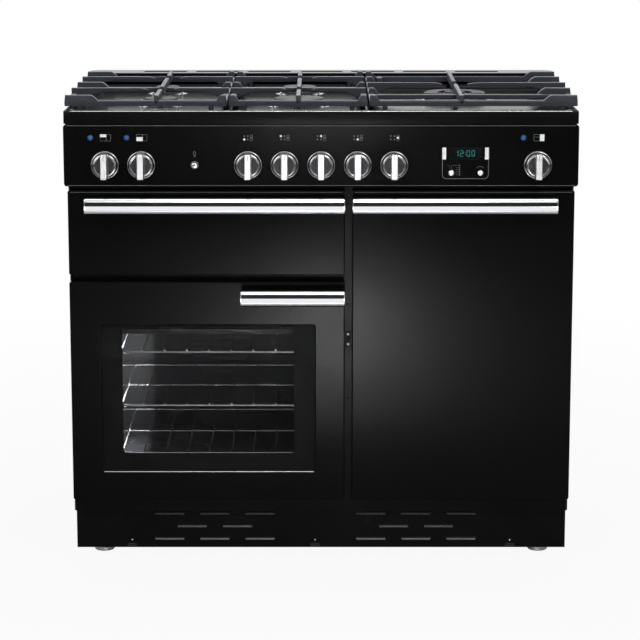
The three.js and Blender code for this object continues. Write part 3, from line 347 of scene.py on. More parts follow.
def softbox(name, place, target, size, power):
    """A rectangular area lamp that looks at a target."""
    data = bpy.data.lights.new(name, "AREA")
    data.shape = "RECTANGLE"
    data.size, data.size_y = size
    data.energy = power
    lamp = placed(name, data)
    lamp.location = place
    x, y, z = np.subtract(target, place)
    fall, yaw = math.atan2(math.hypot(x, y), -z), math.atan2(y, x) - math.pi / 2
    lamp.rotation_euler = (fall, 0, yaw)


def make_world():
    """Plain grey surroundings that light the cooker, and white where the camera sees them straight, through glass
    or in a gloss."""
    world = bpy.data.worlds.new("studio")
    world.use_nodes = True
    tree = world.node_tree
    dim = tree.nodes["Background"]
    feed(dim, {"Color": (0.55, 0.55, 0.56, 1), "Strength": 0.6})
    white = add(tree, "Background", {"Color": (1, 1, 1, 1), "Strength": 1})
    path = add(tree, "LightPath", {})
    rays = {0: path["Is Camera Ray"], 1: path["Is Transmission Ray"]}
    straight = add(tree, "Math", rays, operation="MAXIMUM")["Value"]
    either = add(tree, "Math", {0: straight, 1: path["Is Glossy Ray"]}, operation="MAXIMUM")["Value"]
    blend(tree, either, dim.outputs["Background"], white["Background"], "World Output")
    bpy.context.scene.world = world


def make_floor():
    """A white floor that keeps the cooker's soft shadow close to it and turns plain white further out: what the
    camera sees is a share of white light, which grows with the distance, and the lit floor for the rest."""
    material = bpy.data.materials.new("floor")
    material.use_nodes = True
    tree = material.node_tree
    shader = tree.nodes["Principled BSDF"]
    feed(shader, {"Base Color": (0.4, 0.4, 0.4, 1), "Roughness": 0.9, "Specular IOR Level": 0.1})
    light = add(tree, "Emission", {"Strength": 1})
    path = add(tree, "LightPath", {})
    place = add(tree, "TexCoord", {})
    reach = add(tree, "VectorMath", {0: place["Object"]}, operation="LENGTH")
    ends = {"From Min": 0.9, "From Max": 2.6, "To Min": 0.93, "To Max": 1.0}
    share = add(tree, "MapRange", {**ends, "Value": reach["Value"]})
    factors = {0: path["Is Camera Ray"], 1: share["Result"]}
    seen = add(tree, "Math", factors, operation="MULTIPLY")
    blend(tree, seen["Value"], shader.outputs["BSDF"], light["Emission"], "Material Output")
    mesh = bpy.data.meshes.new("floor")
    half = 14.0
    mesh.from_pydata([(-half, -half, 0), (half, -half, 0), (half, half, 0), (-half, half, 0)], [], [(0, 1, 2, 3)])
    mesh.materials.append(material)
    placed("floor", mesh)


bpy.context.scene.view_settings.view_transform = "Standard"
make_camera()
make_world()
make_floor()
# Name, place, target, size and watts. The three pools light the floor low in front, and the doors and the hob's edge
# mirror them as a soft glow. They face straight down, so their first size runs along Y.
for lamp_facts in (
    ("key", (1.7, -3.0, 3.0), (0, 0, 0.6), (1.8, 1.4), 60),
    ("fill", (-2.4, -2.6, 2.2), (0, 0, 0.6), (1.8, 1.8), 34),
    ("pool_core", (0.03, -2.7, 0.2), (0.03, -2.7, 0), (1.1, 0.1), 44),
    ("pool_wide", (0.03, -2.8, 0.28), (0.03, -2.8, 0), (2.5, 0.12), 84),
    ("pool_hob", (0.0, -8.15, 0.26), (0.0, -8.15, 0), (0.6, 0.3), 110),
    ("oven_glow", (-0.355, -0.06, 0.35), (-0.45, -0.06, 0.35), (0.22, 0.3), 3.6),
    ("top", (0, 0.4, 3.2), (0, 0, 0.9), (2.4, 1.4), 45),
    ("rear", (0, 3.2, 2.4), (0, 0, 0.9), (2.4, 1.0), 40),
):
    softbox(*lamp_facts)

# ---- Control panel ----
KNOBS = [f"knob_{k}" for k in range(1, 9)]
GAS = range(3, 8)
LAMP_HEIGHT = 853
LAMP_PLACES = [-444.5, -374.4, 389.6]
MARK_DEPTH = 0.25
FINE_LINE, MARK_LINE = 0.22, 0.5
TIMER = (234, 323, 773.6, 833)
DISPLAY = (245.9248, 310.5388, 811.5, 834)
DISPLAY_FACE = FACE - 0.8
FIGURES = {"0": "abcdef", "1": "bc", "2": "abged"}
FIGURE_WIDE, FIGURE_TALL, FIGURE_LINE = 6.6, 12, 1.3


def on_face(node):
    """Point on the panel's face in front of a node's centre."""
    x, _, z = middle(node)
    return np.array([x, FACE, z])


def plate(x0, x1, z0, z1, depth=MARK_DEPTH, front=FACE):
    """A thin printed mark on the control panel's face, or on a face in front of it."""
    return block((x0, front - depth, z0), (x1, front + 0.3, z1), 0.1, 0.3, "y", steps=1, corner_steps=2)


def frame_mark(x0, x1, z0, z1, line=MARK_LINE):
    """Outline of a rectangle as four printed bars."""
    level = [plate(x0, x1, z, z + line) for z in (z1 - line, z0)]
    return level + [plate(x, x + line, z0, z1) for x in (x0, x1 - line)]


def fine_line(points, radius=FINE_LINE):
    """A printed line on the control panel along (x, z) points, as a thin tube half sunk in its face."""
    return swept(circle(radius, 8), [(x, FACE - 0.05, z) for x, z in points], up=(0, 1, 0))


def control_panel():
    """Panel shell open at the back with rounded front edges, a thin grey strip along its top and its foot as a
    painted highlight on those edges, and a polished ring with a dark seat round each knob."""
    low = np.array([panel_low[0], FACE, panel_low[2]])
    wall, edge, corner = 2, 2, 6
    rows = [(FACE + wall, wall), (panel_high[1], wall), (panel_high[1], 0)] + over_edge(FACE, edge)
    shell = loft(nested(low, panel_high, "y", rows, corner, 0.5))
    fixed("panel_shell", black_gloss, shell, replaces=["control_panel"])
    # Grey strips near the panel's top and foot: painted highlights on its rounded edges.
    heights = (panel_high[2] - 2.4, panel_low[2] + 1.8)
    fixed("panel_edge_highlights", print_and_highlight_grey, *[long_bar(low, panel_high, 7, -0.15, 0.3, z, z + 0.7, 0.1) for z in heights])
    bezel = [(24.3, 0), (24.3, -4.2), (25, -6), (25.9, -5.88), (26.9, -5.16), (27.7, -3.6), (28.5, -0.6), (28.5, 0)]
    for name in KNOBS:
        fixed(f"{name}_bezel", smoked_chrome, turned(bezel, on_face(name), sides=64, closed=True))
        fixed(f"{name}_seat", black_matt, turned([(25.3, -0.1), (25.3, -0.6)], on_face(name)))


SKIRT = [(18.5, -11.1), (22.6, -11.1), (23.3, -11.7), (23.3, -13), (22.9, -14), (22, -14.7), (20.7, -15.2),
         (19.6, -15.4), (18.8, -15.1), (18.5, -14.6)]
DISC = [(18.7, -11.2), (18.7, -14.6), (18.2, -14.8), (12, -14.6), (4, -14.5)]
GRIP_HALF_WIDE, GRIP_HALF_LONG, GRIP_BACK = 7, 25.4, -14


def knob(name):
    """A dark dished disc in a polished skirt, with a satin grip bar across it and a pointer line on the bar's
    upper end. The bar narrows towards its front, faster over the last fifth."""
    place = on_face(name)
    x, back, z = place + (0, GRIP_BACK, 0)
    front = corners(name)[0][1]
    piece(f"{name}_skirt", name, smoked_chrome, turned(SKIRT, place, sides=72, closed=True))
    piece(f"{name}_disc", name, knob_dark, turned(DISC, place, sides=64))
    rings = []
    for t in np.linspace(0, 1, 9):
        wide = GRIP_HALF_WIDE * (1 - 0.08 * t - 4 * max(0, t - 0.8) ** 2)
        long = GRIP_HALF_LONG * (1 - 0.015 * t - 2 * max(0, t - 0.85) ** 2)
        rings.append(stand(rounded(x - wide, x + wide, z - long, z + long, 2.2), back + (front - back) * t, "y"))
    piece(f"{name}_grip", name, satin, loft(rings), replaces=[name])
    line = block((x - 0.5, front, z + 12), (x + 0.5, front + 0.6, z + 22), 0.2, 0.2, "y")
    piece(f"{name}_pointer", name, black_matt, line)


def oven_marks():
    """A small plan of the three compartments over each oven knob, with the one it works filled in."""
    wide, tall, split, shelf = 20.5, 13, 12, 5.5
    z0, z1 = LAMP_HEIGHT - tall / 2, LAMP_HEIGHT + tall / 2
    deck = z1 - shelf
    for k in (1, 2, 8):
        x0 = middle(f"knob_{k}")[0] - 8.6
        wall, x1 = x0 + split, x0 + wide
        bars = frame_mark(x0, wall, z0, z1) + frame_mark(wall, x1, z0, z1)
        bars.append(plate(x0, wall, deck, deck + MARK_LINE))
        area = {1: (x0, wall, deck, z1), 2: (x0, wall, z0, deck), 8: (wall, x1, z0, z1)}[k]
        fixed(f"knob_{k}_outline", print_and_highlight_grey, *bars)
        fixed(f"knob_{k}_mark", mark_white, plate(*area, MARK_DEPTH + 0.05))


def burner_marks():
    """A dot for each burner over each gas knob, the one it works larger and white, and a thin frame round the
    right-hand dot."""
    spots = [(-6.9, -3.2), (-6.9, 3.2), (0, 3.2), (0, -3.2), (6.9, 0)]
    for order, k in enumerate(GAS):
        x = middle(f"knob_{k}")[0]
        dots = []
        for i, (dx, dz) in enumerate(spots):
            radius = 2.1 if i == order else 1.3
            dots.append(turned([(radius, 0.2), (radius, -MARK_DEPTH)], (x + dx, FACE, LAMP_HEIGHT + dz), sides=20))
        fixed(f"knob_{k}_mark", mark_white, dots.pop(order))
        frame_bars = frame_mark(x + 4.4, x + 9.4, LAMP_HEIGHT - 5.4, LAMP_HEIGHT + 5.4)
        fixed(f"knob_{k}_outline", print_and_highlight_grey, *frame_bars, *dots)


def lamps():
    """Blue neon lamps: a shallow dome in a dark collar."""
    dome = [(5, 0.3), (5, -0.8)] + [(5 * math.cos(t), -0.8 - 2.4 * math.sin(t)) for t in np.linspace(0.15, 1.45, 7)]
    collar = [(5, 0), (5, -0.9), (5.9, -0.9), (6.2, 0)]
    for i, x in enumerate(LAMP_PLACES):
        place = (x, FACE, LAMP_HEIGHT)
        fixed(f"lamp_{i + 1}", neon_blue, turned(dome, place, sides=40))
        fixed(f"lamp_{i + 1}_collar", black_matt, turned(collar, place, sides=40, closed=True))


def figure(character, x, z):
    """A seven-segment figure of raised bars, its lower left corner at (x, z)."""
    wide, tall, line = FIGURE_WIDE, FIGURE_TALL, FIGURE_LINE
    half, right, gap = tall / 2, wide - line, 0.15
    places = {"a": (0, wide, tall - line, tall), "b": (right, wide, half, tall), "c": (right, wide, 0, half),
              "d": (0, wide, 0, line), "e": (0, line, 0, half), "f": (0, line, half, tall),
              "g": (0, wide, half - line / 2, half + line / 2)}
    bars = []
    for segment in FIGURES[character]:
        x0, x1, z0, z1 = places[segment]
        bars.append(plate(x + x0 + gap, x + x1 - gap, z + z0 + gap, z + z1 - gap, 0.2, DISPLAY_FACE))
    return bars


def timer():
    """Timer block: a thin outline, two scale bars, a dark window with the time, and its two knobs."""
    x0, x1, z0, z1 = TIMER
    bend, shoulder = 8, z1 - 22
    route = arc((x0 + bend, z0 + bend), bend, 180, 270) + arc((x1 - bend, z0 + bend), bend, 270, 360)
    fixed("timer_outline", print_and_highlight_grey, fine_line([(x0, shoulder), *route, (x1, shoulder)], MARK_LINE))
    timer_marks()
    ends = ((x0 - 0.4, x0 + 7), (x1 - 7, x1 + 0.4))
    fixed("timer_bars", mark_white, *[plate(*sides, shoulder, z1 + 1) for sides in ends])
    left, right, foot, top = DISPLAY
    fixed("timer_window", dark_glass, block((left, DISPLAY_FACE, foot), (right, FACE + 0.5, top), 0.5, 1.5, "y"))
    step, half_line = 9.4, FIGURE_LINE / 2
    start = (left + right) / 2 - 2 * step - 1.4
    z = (foot + top) / 2 - FIGURE_TALL / 2
    bars = []
    for i, character in enumerate("1200"):
        after_colon = 3.6 if i > 1 else 0
        bars += figure(character, start + i * step + after_colon, z)
    colon = start + 2 * step + 0.4
    for height in (z + FIGURE_TALL * 0.3, z + FIGURE_TALL * 0.7):
        dot = (colon, colon + FIGURE_LINE, height - half_line, height + half_line)
        bars.append(plate(*dot, 0.2, DISPLAY_FACE))
    fixed("timer_digits", display_teal, *bars)
    cap = [(2.4, 1), (5.2, 0.9), (5.2, -0.4), (5.4, -1), (5.4, -7.6), (5, -8.8), (4.2, -9.5), (3.2, -9.7), (1.5, -9.5)]
    for name in ("timer_knob_left", "timer_knob_right"):
        x, _, z = place = on_face(name)
        piece(f"{name}_cap", name, satin, turned(cap, place, sides=40), replaces=[name])
        line = plate(x - 0.4, x + 0.4, z + 0.8, z + 4.2, 0.15, FACE - 9.5)
        piece(f"{name}_line", name, black_matt, line)


def timer_marks():
    """Printed leaders and ticks by the timer's left knob, and an arc over its right knob."""
    left_x, _, left_z = middle("timer_knob_left")
    right_x, _, right_z = middle("timer_knob_right")
    lines = []
    for rise, leader in ((14, 12), (9.5, 6.5), (6, 6.5), (2.5, 6.5), (-1, 6.5), (-4.5, 6.5)):
        x, z = left_x + 15, left_z + rise
        lines.append(plate(x, x + 2.4, z - 0.9, z + 0.9))
        lines.append(fine_line([(x - leader, z), (x - 1.5, z)]))
    x, z = left_x + 1, left_z + 14
    lines += [fine_line([(x, z), (x, z - 7)]), fine_line([(x - 9, z), (x - 4, z), (x - 4, z - 6)])]
    lines.append(fine_line(arc((right_x, right_z + 3), 9, 140, 40, 8), 0.28))
    fixed("timer_marks", print_and_highlight_grey, *lines)


def light_button():
    """Chrome push button in a low collar, with a bulb drawn over it."""
    place = on_face("light_button")
    front = corners("light_button")[0][1] - FACE
    profile = [(2.4, 2.2), (5.2, 2), (5.45, 1.1), (5, 0.4), (4, 0), (1.5, 0.15)]
    cap = turned([(r, front + h) for r, h in profile], place, sides=40)
    stem = turned([(2.4, 4), (2.4, front + 2)], place, sides=24)
    piece("light_button_cap", "light_button", chrome, cap, stem, replaces=["light_button"])
    collar = turned([(6, 0), (6, -1.2), (7.2, -1.2), (7.8, 0)], place, sides=40, closed=True)
    fixed("light_button_collar", chrome, collar)
    x, z = place[0], LAMP_HEIGHT - 31
    radius, line = 2.6, 0.7
    rows = [(FACE + 0.2, 0), (FACE - MARK_DEPTH, 0), (FACE - MARK_DEPTH, line), (FACE + 0.2, line)]
    bulb = nested((x - radius, 0, z - 3.4), (x + radius, 0, z + 4.6), "y", rows, radius, steps=5)
    fixed("light_mark", print_and_highlight_grey, loft(bulb, closed=True), plate(x - 1.2, x + 1.2, z - 5.6, z - 3.8))


# ---- Doors ----
DOORS = ("grill_door", "oven_door", "tall_door")
WINDOW_CORNER = 6
GLASS_LAP = 8
# The groove's upper and lower edge as shares of the bar's height, measured down from its top, and the room that
# the bar takes over and under its solid
GROOVE_SPAN = (0.22, 0.46)
HANDLE_ROOM = 2


def screw_head(place, radius, rise, axis):
    """A pan-head screw: a low dome with a dimple. Rise is signed along the axis."""
    shares = [(1, 0), (1, 0.3), (0.88, 0.7), (0.55, 1), (0.3, 1), (0.22, 0.35)]
    return turned([(radius * r, rise * h) for r, h in shares] + [(0.02, rise * 0.2)], place, axis, sides=20)


def door_skin(node, window):
    """Door shell with a rounded front edge, sides and a folded back edge. The rings run round the shell's section:
    a window's rounded edge from the back of the skin, then front, sides, fold, and back up inside."""
    low, high = corners(node)
    front, back = low[1], high[1]
    edge, wall, fold, skin, corner, rim = 2.2, 2, 16, 3, 4, 1.2
    rows = over_edge(front, edge)[::-1] + [(back, 0), (back, fold), (back - wall, fold), (back - wall, wall)]
    rings = nested(low, high, "y", rows + [(front + skin, wall)], corner)
    if window is None:
        return loft(rings)
    rows = [(front + skin, 0)] + [(y, -inset) for y, inset in over_edge(front, rim)]
    return loft(nested(*window, "y", rows, WINDOW_CORNER) + rings, closed=True)


def doors():
    """The three door shells, a grey strip near the top of two of them as a painted highlight on their rounded top
    edges, and the oven door's glass: two sheets with polished edges, a printed black border behind the window and a
    satin strip along its foot as a painted highlight on the window's lower edge."""
    low, high = corners("oven_door_window")
    lap = np.array([GLASS_LAP, 0, GLASS_LAP])
    for door, window in (("oven_door", (low + lap, high - lap)), ("grill_door", None), ("tall_door", None)):
        outer = f"{door}_outer"
        piece(f"{door}_shell", door, black_gloss, door_skin(outer, window), replaces=[outer])
    # A grey strip just below each door's top: a painted highlight on the rounded top edge.
    for door in ("grill_door", "tall_door"):
        door_low, door_high = corners(f"{door}_outer")
        top = door_high[2]
        piece(f"{door}_bead", door, painted_light_grey, long_bar(door_low, door_high, 5, -0.1, 0.4, top - 4, top - 3.2, 0.15))
    for node, name, glass in (("oven_door_window", "oven_window", window_glass),
                              ("oven_door_inner_glass", "oven_inner_window", inner_glass)):
        sheet = block(*corners(node), 0.4, WINDOW_CORNER + GLASS_LAP, "y")
        piece(name, "oven_door", glass, sheet, replaces=[node])
    outline = (low[0] + 1, high[0] - 1, low[2] + 1, high[2] - 1)
    view = (low[0] + 50, high[0] - 50, low[2] + 46, high[2] - 14)
    rows = [(outline, 0.05), (outline, 0.5), (view, 0.5), (view, 0.05)]
    border = [stand(rounded(*ends, WINDOW_CORNER), high[1] + behind, "y") for ends, behind in rows]
    piece("oven_window_border", "oven_door", black_matt, loft(border, closed=True))
    # A satin strip along the window's foot: a painted highlight on the opening's lower edge.
    foot = low[2] + GLASS_LAP
    highlight_strip = long_bar(low, high, GLASS_LAP + 3, -0.9, 0.2, foot + 0.2, foot + 1.5, 0.4)
    piece("oven_window_highlight_strip", "oven_door", satin, highlight_strip)


def inner_panel_details(door):
    """Rubber seal round a door's inner panel, oval in section, and screws in its corners."""
    low, high = corners(f"{door}_inner")
    back, inset, half_wide, half_thick, corner = high[1], 14, 3, 0.9, 14
    rows = [(back - 0.2 + half_thick * v, inset - half_wide * u) for u, v in circle(1, 10)]
    piece(f"{door}_seal", door, rubber_and_shade, loft(nested(low, high, "y", rows, corner), closed=True))
    places = [(x, z) for x in (low[0] + 6, high[0] - 6) for z in (low[2] + 6, high[2] - 6)]
    for i, (x, z) in enumerate(places):
        piece(f"{door}_screw_{i}", door, screw_steel, screw_head((x, back, z), 3.2, 1, "y"))


def handle_section(y0, y1, z0, z1):
    """Outline of a handle's bar as (y, z) rows: a bright cap, a groove below it, and a lower band that leans out and
    rolls under as a quarter of an ellipse."""
    groove_top, groove_low = (z1 - share * (z1 - z0) for share in GROOVE_SPAN)
    groove_deep, roll_deep, roll_tall, lean, nose, heel = 5, 12, 9, 2.6, 3.2, 5
    turn = np.linspace(1.5 * np.pi, np.pi, 7)
    points = [(y0 + roll_deep * (1 + math.cos(t)), z0 + roll_tall * (1 + math.sin(t))) for t in turn]
    start, end = z0 + roll_tall, groove_low - 0.6
    points += [(y0 + lean * t, start + (end - start) * t) for t in (0.3, 0.65, 1)]
    points += [(y0 + lean + 0.6, groove_low), (y0 + groove_deep, groove_low)]
    points += [(y0 + groove_deep, groove_top), (y0 + 0.8, groove_top + 0.3)]
    points += arc((y0 + nose + 0.2, z1 - nose), nose, 180, 90, 4)
    points += arc((y1 - heel, z1 - heel), heel, 90, 0, 4) + arc((y1 - heel, z0 + heel), heel, 0, -90, 4)
    return np.array(points)


def handles():
    """Chrome bars with a groove along the front, lined with a black strip as painted shade, and rounded ends, on two
    posts each.
    """
    turn = np.linspace(0, np.pi / 2, 5)
    inset, scale = 3 * (1 - np.cos(turn)), 0.86 + 0.14 * np.sin(turn)
    for door in DOORS:
        node = f"{door}_handle"
        low, high = corners(node)
        back, door_face = low[1] + 24, corners(f"{door}_outer")[0][1]
        foot, top = low[2] - HANDLE_ROOM, high[2] + HANDLE_ROOM
        section = handle_section(low[1], back, foot, top)
        centre = section.mean(axis=0)
        rows = list(zip(low[0] + inset, scale)) + list(zip(high[0] - inset, scale))[::-1]
        bar = loft([stand(centre + (section - centre) * share, x, "x") for x, share in rows])
        posts = [block((x, back - 4, low[2] + 4), (x + 20, door_face, high[2] - 4), 0.5, 4, "y")
                 for x in (low[0] + 14, high[0] - 34)]
        piece(f"{node}_bar", door, chrome, bar, *posts, replaces=[node])
        # A black strip along the groove, from just above to just below it: painted shade that keeps the groove dark.
        upper, lower = (top - share * (top - foot) for share in (GROOVE_SPAN[0] - 0.005, GROOVE_SPAN[1] + 0.005))
        piece(f"{node}_groove", door, black_matt, long_bar(low, high, 1.5, 4, 5.4, lower, upper, 0.2))


# ---- Hob ----
BURNERS = ["burner_left_front", "burner_left_rear", "burner_centre_front", "burner_centre_rear", "burner_wok"]
RIM, WELL, WELL_CORNER, HOB_CHAMFER = 15, 8, 24, 14
hob_low, hob_high = corners("hob_tray")
WELL_HEIGHT = hob_high[2] - WELL


def upright(node):
    """Point at floor level under a node's centre, and half the node's width."""
    low, high = corners(node)
    return (low + high) / 2 * (1, 1, 0), (high[0] - low[0]) / 2


def hob():
    """Pressed hob: upright edge, rounded rim, a slope down into the spill area, a satin strip along the front as a
    painted highlight on its rounded edge, and a low ring round each burner."""
    top = hob_high[2]
    rows = [(z, inset, HOB_CHAMFER) for z, inset in [(hob_low[2], 0)] + over_edge(top, -4)]
    slope = [(top - 0.3, RIM - 2), (top - 1.8, RIM), (WELL_HEIGHT + 1.6, RIM + 3), (WELL_HEIGHT, RIM + 6)]
    rows += [(z, inset, WELL_CORNER) for z, inset in slope]
    rings = [ring(hob_low, hob_high, "z", *row, straight=row[2] == HOB_CHAMFER) for row in rows]
    fixed("hob_pressing", hob_gloss, loft(rings), replaces=["hob_tray"])
    # A satin strip along the front top edge: a painted highlight on the hob's rounded edge.
    fixed("hob_front_highlight_strip", satin, long_bar(hob_low, hob_high, HOB_CHAMFER, 0.6, 2.6, top - 1.6, top - 0.7, 0.3))
    relief = [(2, -0.3), (2, 1.2), (5, 1.7), (9, 1.2), (13, -0.2)]
    for name in BURNERS:
        centre, reach = upright(name)
        profile = [(reach + r, WELL_HEIGHT + h) for r, h in relief]
        fixed(f"{name}_ring", hob_gloss, turned(profile, centre, "z", 72, closed=True))


def crown(centre, radius, low, high, teeth):
    """A burner's crown: a wall with flame ports, cut as square notches round its edge."""
    reach = np.tile([radius, radius - 2.6, radius - 2.6, radius], teeth)
    outline = centre[:2] + reach[:, None] * circle(1, teeth * 4)
    return loft([stand(outline, z, "z") for z in (low, high)])


def lid(centre, radius, low, high, sides):
    """Lid of a burner: a rounded rim and a slightly domed top."""
    edge = 2.4
    rim = arc((radius - edge, low + edge * 0.9), edge, -40, 78)
    points = [(radius - 4, low), (radius - 1, low), *rim, (radius * 0.55, high - 0.25), (radius * 0.2, high)]
    return turned(points, centre, "z", sides)


def burners():
    """Five burners: black base, alloy crown with flame ports, black lid, and on either side a white spark pin with
    a metal tip and a thin flame sensor. The large one has a second crown inside and a lid with a ring round it."""
    pin = [(3.2, -0.3), (3.2, 1.6), (2, 1.8), (2, 7.5), (1.2, 8.2), (0.9, 8.4), (0.9, 11.6), (0.4, 12.2)]
    tooth = 5.2
    for name in BURNERS:
        low, high = corners(name)
        centre, reach = upright(name)
        radius, base, top = reach - 5, WELL_HEIGHT + 0.4, high[2]
        deck, rim = base + 3.6, top - 5.4
        skirt = [(radius * 0.5, low[2] + 0.5), (radius - 8.2, low[2]), (radius - 8.2, base),
                 (radius + 4.5, base), (radius + 5, base + 0.8), (radius + 3, deck - 0.6), (radius - 1, deck)]
        crowns = [crown(centre, radius - 1, deck - 0.5, top - 5.6, round(2 * math.pi * radius / tooth))]
        if name == "burner_wok":
            crowns.append(crown(centre, radius * 0.36, deck - 0.5, top - 3.5, 18))
            inner = radius * 0.56
            outer_lid = [(inner, rim), (inner, top - 1), (inner + 1.5, top - 0.3), (radius - 3, top - 0.6),
                         (radius - 0.6, top - 2), (radius, rim)]
            lids = [turned(outer_lid, centre, "z", 72, closed=True), lid(centre, radius * 0.34, top - 3.6, top, 48)]
        else:
            lids = [lid(centre, radius, rim, top, 64)]
        fixed(f"{name}_base", burner_black, turned(skirt, centre, "z", 64))
        fixed(f"{name}_crown", burner_alloy, *crowns, replaces=[name])
        fixed(f"{name}_cap", burner_black, *lids)
        for kind, turn, material in (("spark", 205, mark_white), ("sensor", 335, screw_steel)):
            (x, y), _ = arc(centre, radius + 9, turn, turn, 1)
            fixed(f"{name}_{kind}", material, turned(pin, (x, y, base), "z", 16))


# Heights on the pan supports, from the solids they dress, and the widths of their bars
SUPPORT_TOP, RAIL_TOP, RAIL_BOTTOM, FINGER_BOTTOM = 931, 921, 910, 914
RAIL, FINGER, FLAME_GAP, LUG_HALF = 12, 9, 26, 6
TWO_BURNERS = (42, 296, 522)
# Length of the left and right lugs, and places measured from the hob's front: the cross rail, and the rows of lugs
SUPPORTS = {
    "pan_support_left": (66, 20, 296, TWO_BURNERS),
    "pan_support_centre": (20, 20, 296, TWO_BURNERS),
    "pan_support_right": (20, 66, 160, (42, 181, 411, 522)),
}


def finger(root, tip, y):
    """A cast finger seen from the front: full height at its root, a rounded arch below, a tip that tapers. s is the
    share of the way from the root to the tip."""
    rings = []
    for s in np.concatenate([np.linspace(0, 0.16, 4), np.linspace(0.2, 0.86, 7), np.linspace(0.9, 1, 4)]):
        arch = math.sin(min(max((s - 0.12) / 0.38, 0), 1) * math.pi / 2)
        taper = max(0, (s - 0.86) / 0.14) ** 2
        bottom = RAIL_BOTTOM + (SUPPORT_TOP - 8 - RAIL_BOTTOM) * arch + 1.5 * taper
        half = FINGER / 2 * (1.15 - 0.35 * s)
        outline = rounded(y - half, y + half, bottom, SUPPORT_TOP - 3 * taper, 1.6, 3)
        rings.append(stand(outline, root + (tip - root) * s, "x"))
    return loft(rings)


def support_lug(root, end, y):
    """A raised block on a side rail whose inner end slopes down to the rail."""
    way = math.copysign(1, end - root)
    run = min(14, abs(end - root) * 0.45) * way
    rings = []
    for x, rise in ((root, 0), (root + 1.2 * way, 1), (end - run, 1), (end - run * 0.5, 0.6), (end, 0)):
        top = RAIL_TOP - 1 + (SUPPORT_TOP - RAIL_TOP + 1) * rise
        rings.append(stand(rounded(y - LUG_HALF, y + LUG_HALF, RAIL_BOTTOM + 0.5, top, 2, 3), x, "x"))
    return loft(rings)


def support(node):
    """One cast pan support: a low frame with rounded corners, a cross rail, blocks along its sides, fingers that
    reach in to each burner, and feet."""
    lug_left, lug_right, cross, lug_rows = SUPPORTS[node]
    low, high = corners(node)
    x0, y0, _ = low
    x1, y1, _ = high
    rows = [(RAIL_BOTTOM, 0, 4), (RAIL_TOP - 2, 0, 4), (RAIL_TOP, 2, 4), (RAIL_TOP, RAIL - 1.5, 5),
            (RAIL_TOP - 1.5, RAIL, 5), (RAIL_BOTTOM, RAIL, 5)]
    meshes = [loft([ring(low, high, "z", *row, 3) for row in rows], closed=True)]
    y = cross + hob_low[1]
    meshes.append(block((x0 + 1, y - RAIL / 2, RAIL_BOTTOM + 1), (x1 - 1, y + RAIL / 2, RAIL_TOP - 1), 1.5, 2, "x"))
    stops = [y0]
    for x, y, _ in (upright(name)[0] for name in BURNERS):
        if x0 < x < x1:
            middle_x = x
            stops += [y - FLAME_GAP, y + FLAME_GAP]
            meshes += [finger(x0 + 0.5, x - FLAME_GAP, y), finger(x1 - 0.5, x + FLAME_GAP, y)]
    stops.append(y1)
    near, far = middle_x - FINGER / 2, middle_x + FINGER / 2
    for start, end in zip(stops[::2], stops[1::2]):
        meshes.append(block((near, start, FINGER_BOTTOM), (far, end, SUPPORT_TOP), 2, 2.5, "y"))
    for y in (y0 + 0.5, y1 - RAIL + 0.5):
        meshes.append(block((near, y, RAIL_BOTTOM + 0.5), (far, y + RAIL - 1, SUPPORT_TOP - 1), 1, 2))
    for row in lug_rows:
        y = min(max(row + hob_low[1], y0 + LUG_HALF + 0.6), y1 - LUG_HALF - 0.6)
        meshes += [support_lug(x0 + 0.4, x0 + lug_left, y), support_lug(x1 - 0.4, x1 - lug_right, y)]
    for x in (x0 + 30, x1 - 30):
        foot = [(4.2, low[2]), (4.8, low[2] + 0.8), (5, RAIL_BOTTOM + 2)]
        meshes += [turned(foot, (x, y, 0), "z", 16) for y in (y0 + 6, y1 - 30)]
        stub_low, stub_high = (x - LUG_HALF, y1 - 36, RAIL_BOTTOM + 0.5), (x + LUG_HALF, y1 - 2, RAIL_TOP - 0.5)
        meshes.append(block(stub_low, stub_high, 1.5, 2, "y"))
    piece(f"{node}_casting", node, iron, *meshes, replaces=[node], sharp=40)


def vent_trim():
    """Low box behind the hob: square in front with cut corners behind, slots with slanted ends split by ribs, each
    slot a dark plate on the closed top as painted shade, three thin bars in each slot, and two screws."""
    low, high = corners("rear_vent_trim")
    chamfer, edge, top = 14, 2, high[2]
    rings = []
    for z, inset in [(low[2], 0)] + over_edge(top, -edge):
        x0, y0, _ = low + inset
        x1, y1, _ = high - inset
        back = [(x1, y1 - chamfer), (x1 - chamfer, y1), (x0 + chamfer, y1), (x0, y1 - chamfer)]
        rings.append(stand([(x0, y0), (x1, y0), *back], z, "z"))
    fixed("vent_box", black_gloss, loft(rings), replaces=["rear_vent_trim"])
    slots, pitch, rib, half, lean = 7, 111, 14, 11, 5
    y = (low[1] + high[1]) / 2
    for i in range(slots):
        x0 = (i - slots / 2) * pitch + rib / 2
        x1 = x0 + pitch - rib
        outline = [(x0, y - half), (x1 - lean, y - half), (x1, y + half), (x0 + lean, y + half)]
        # Each slot is a dark plate on the closed top: painted shade where the opening is.
        fixed(f"vent_slot_shade_{i + 1}", rubber_and_shade, loft([stand(outline, z, "z") for z in (top - 1, top)]))
        bars = [block((x0 + 6, y + shift - 0.9, top - 0.5), (x1 - 6, y + shift + 0.9, top), 0.3, 0.3, "x")
                for shift in (-5.5, 0, 5.5)]
        fixed(f"vent_bars_{i + 1}", black_sheet, *bars)
    for i, x in enumerate((-398, 398)):
        fixed(f"vent_screw_{i + 1}", screw_steel, screw_head((x, y, top - 1.2), 4, 1.1, "z"))


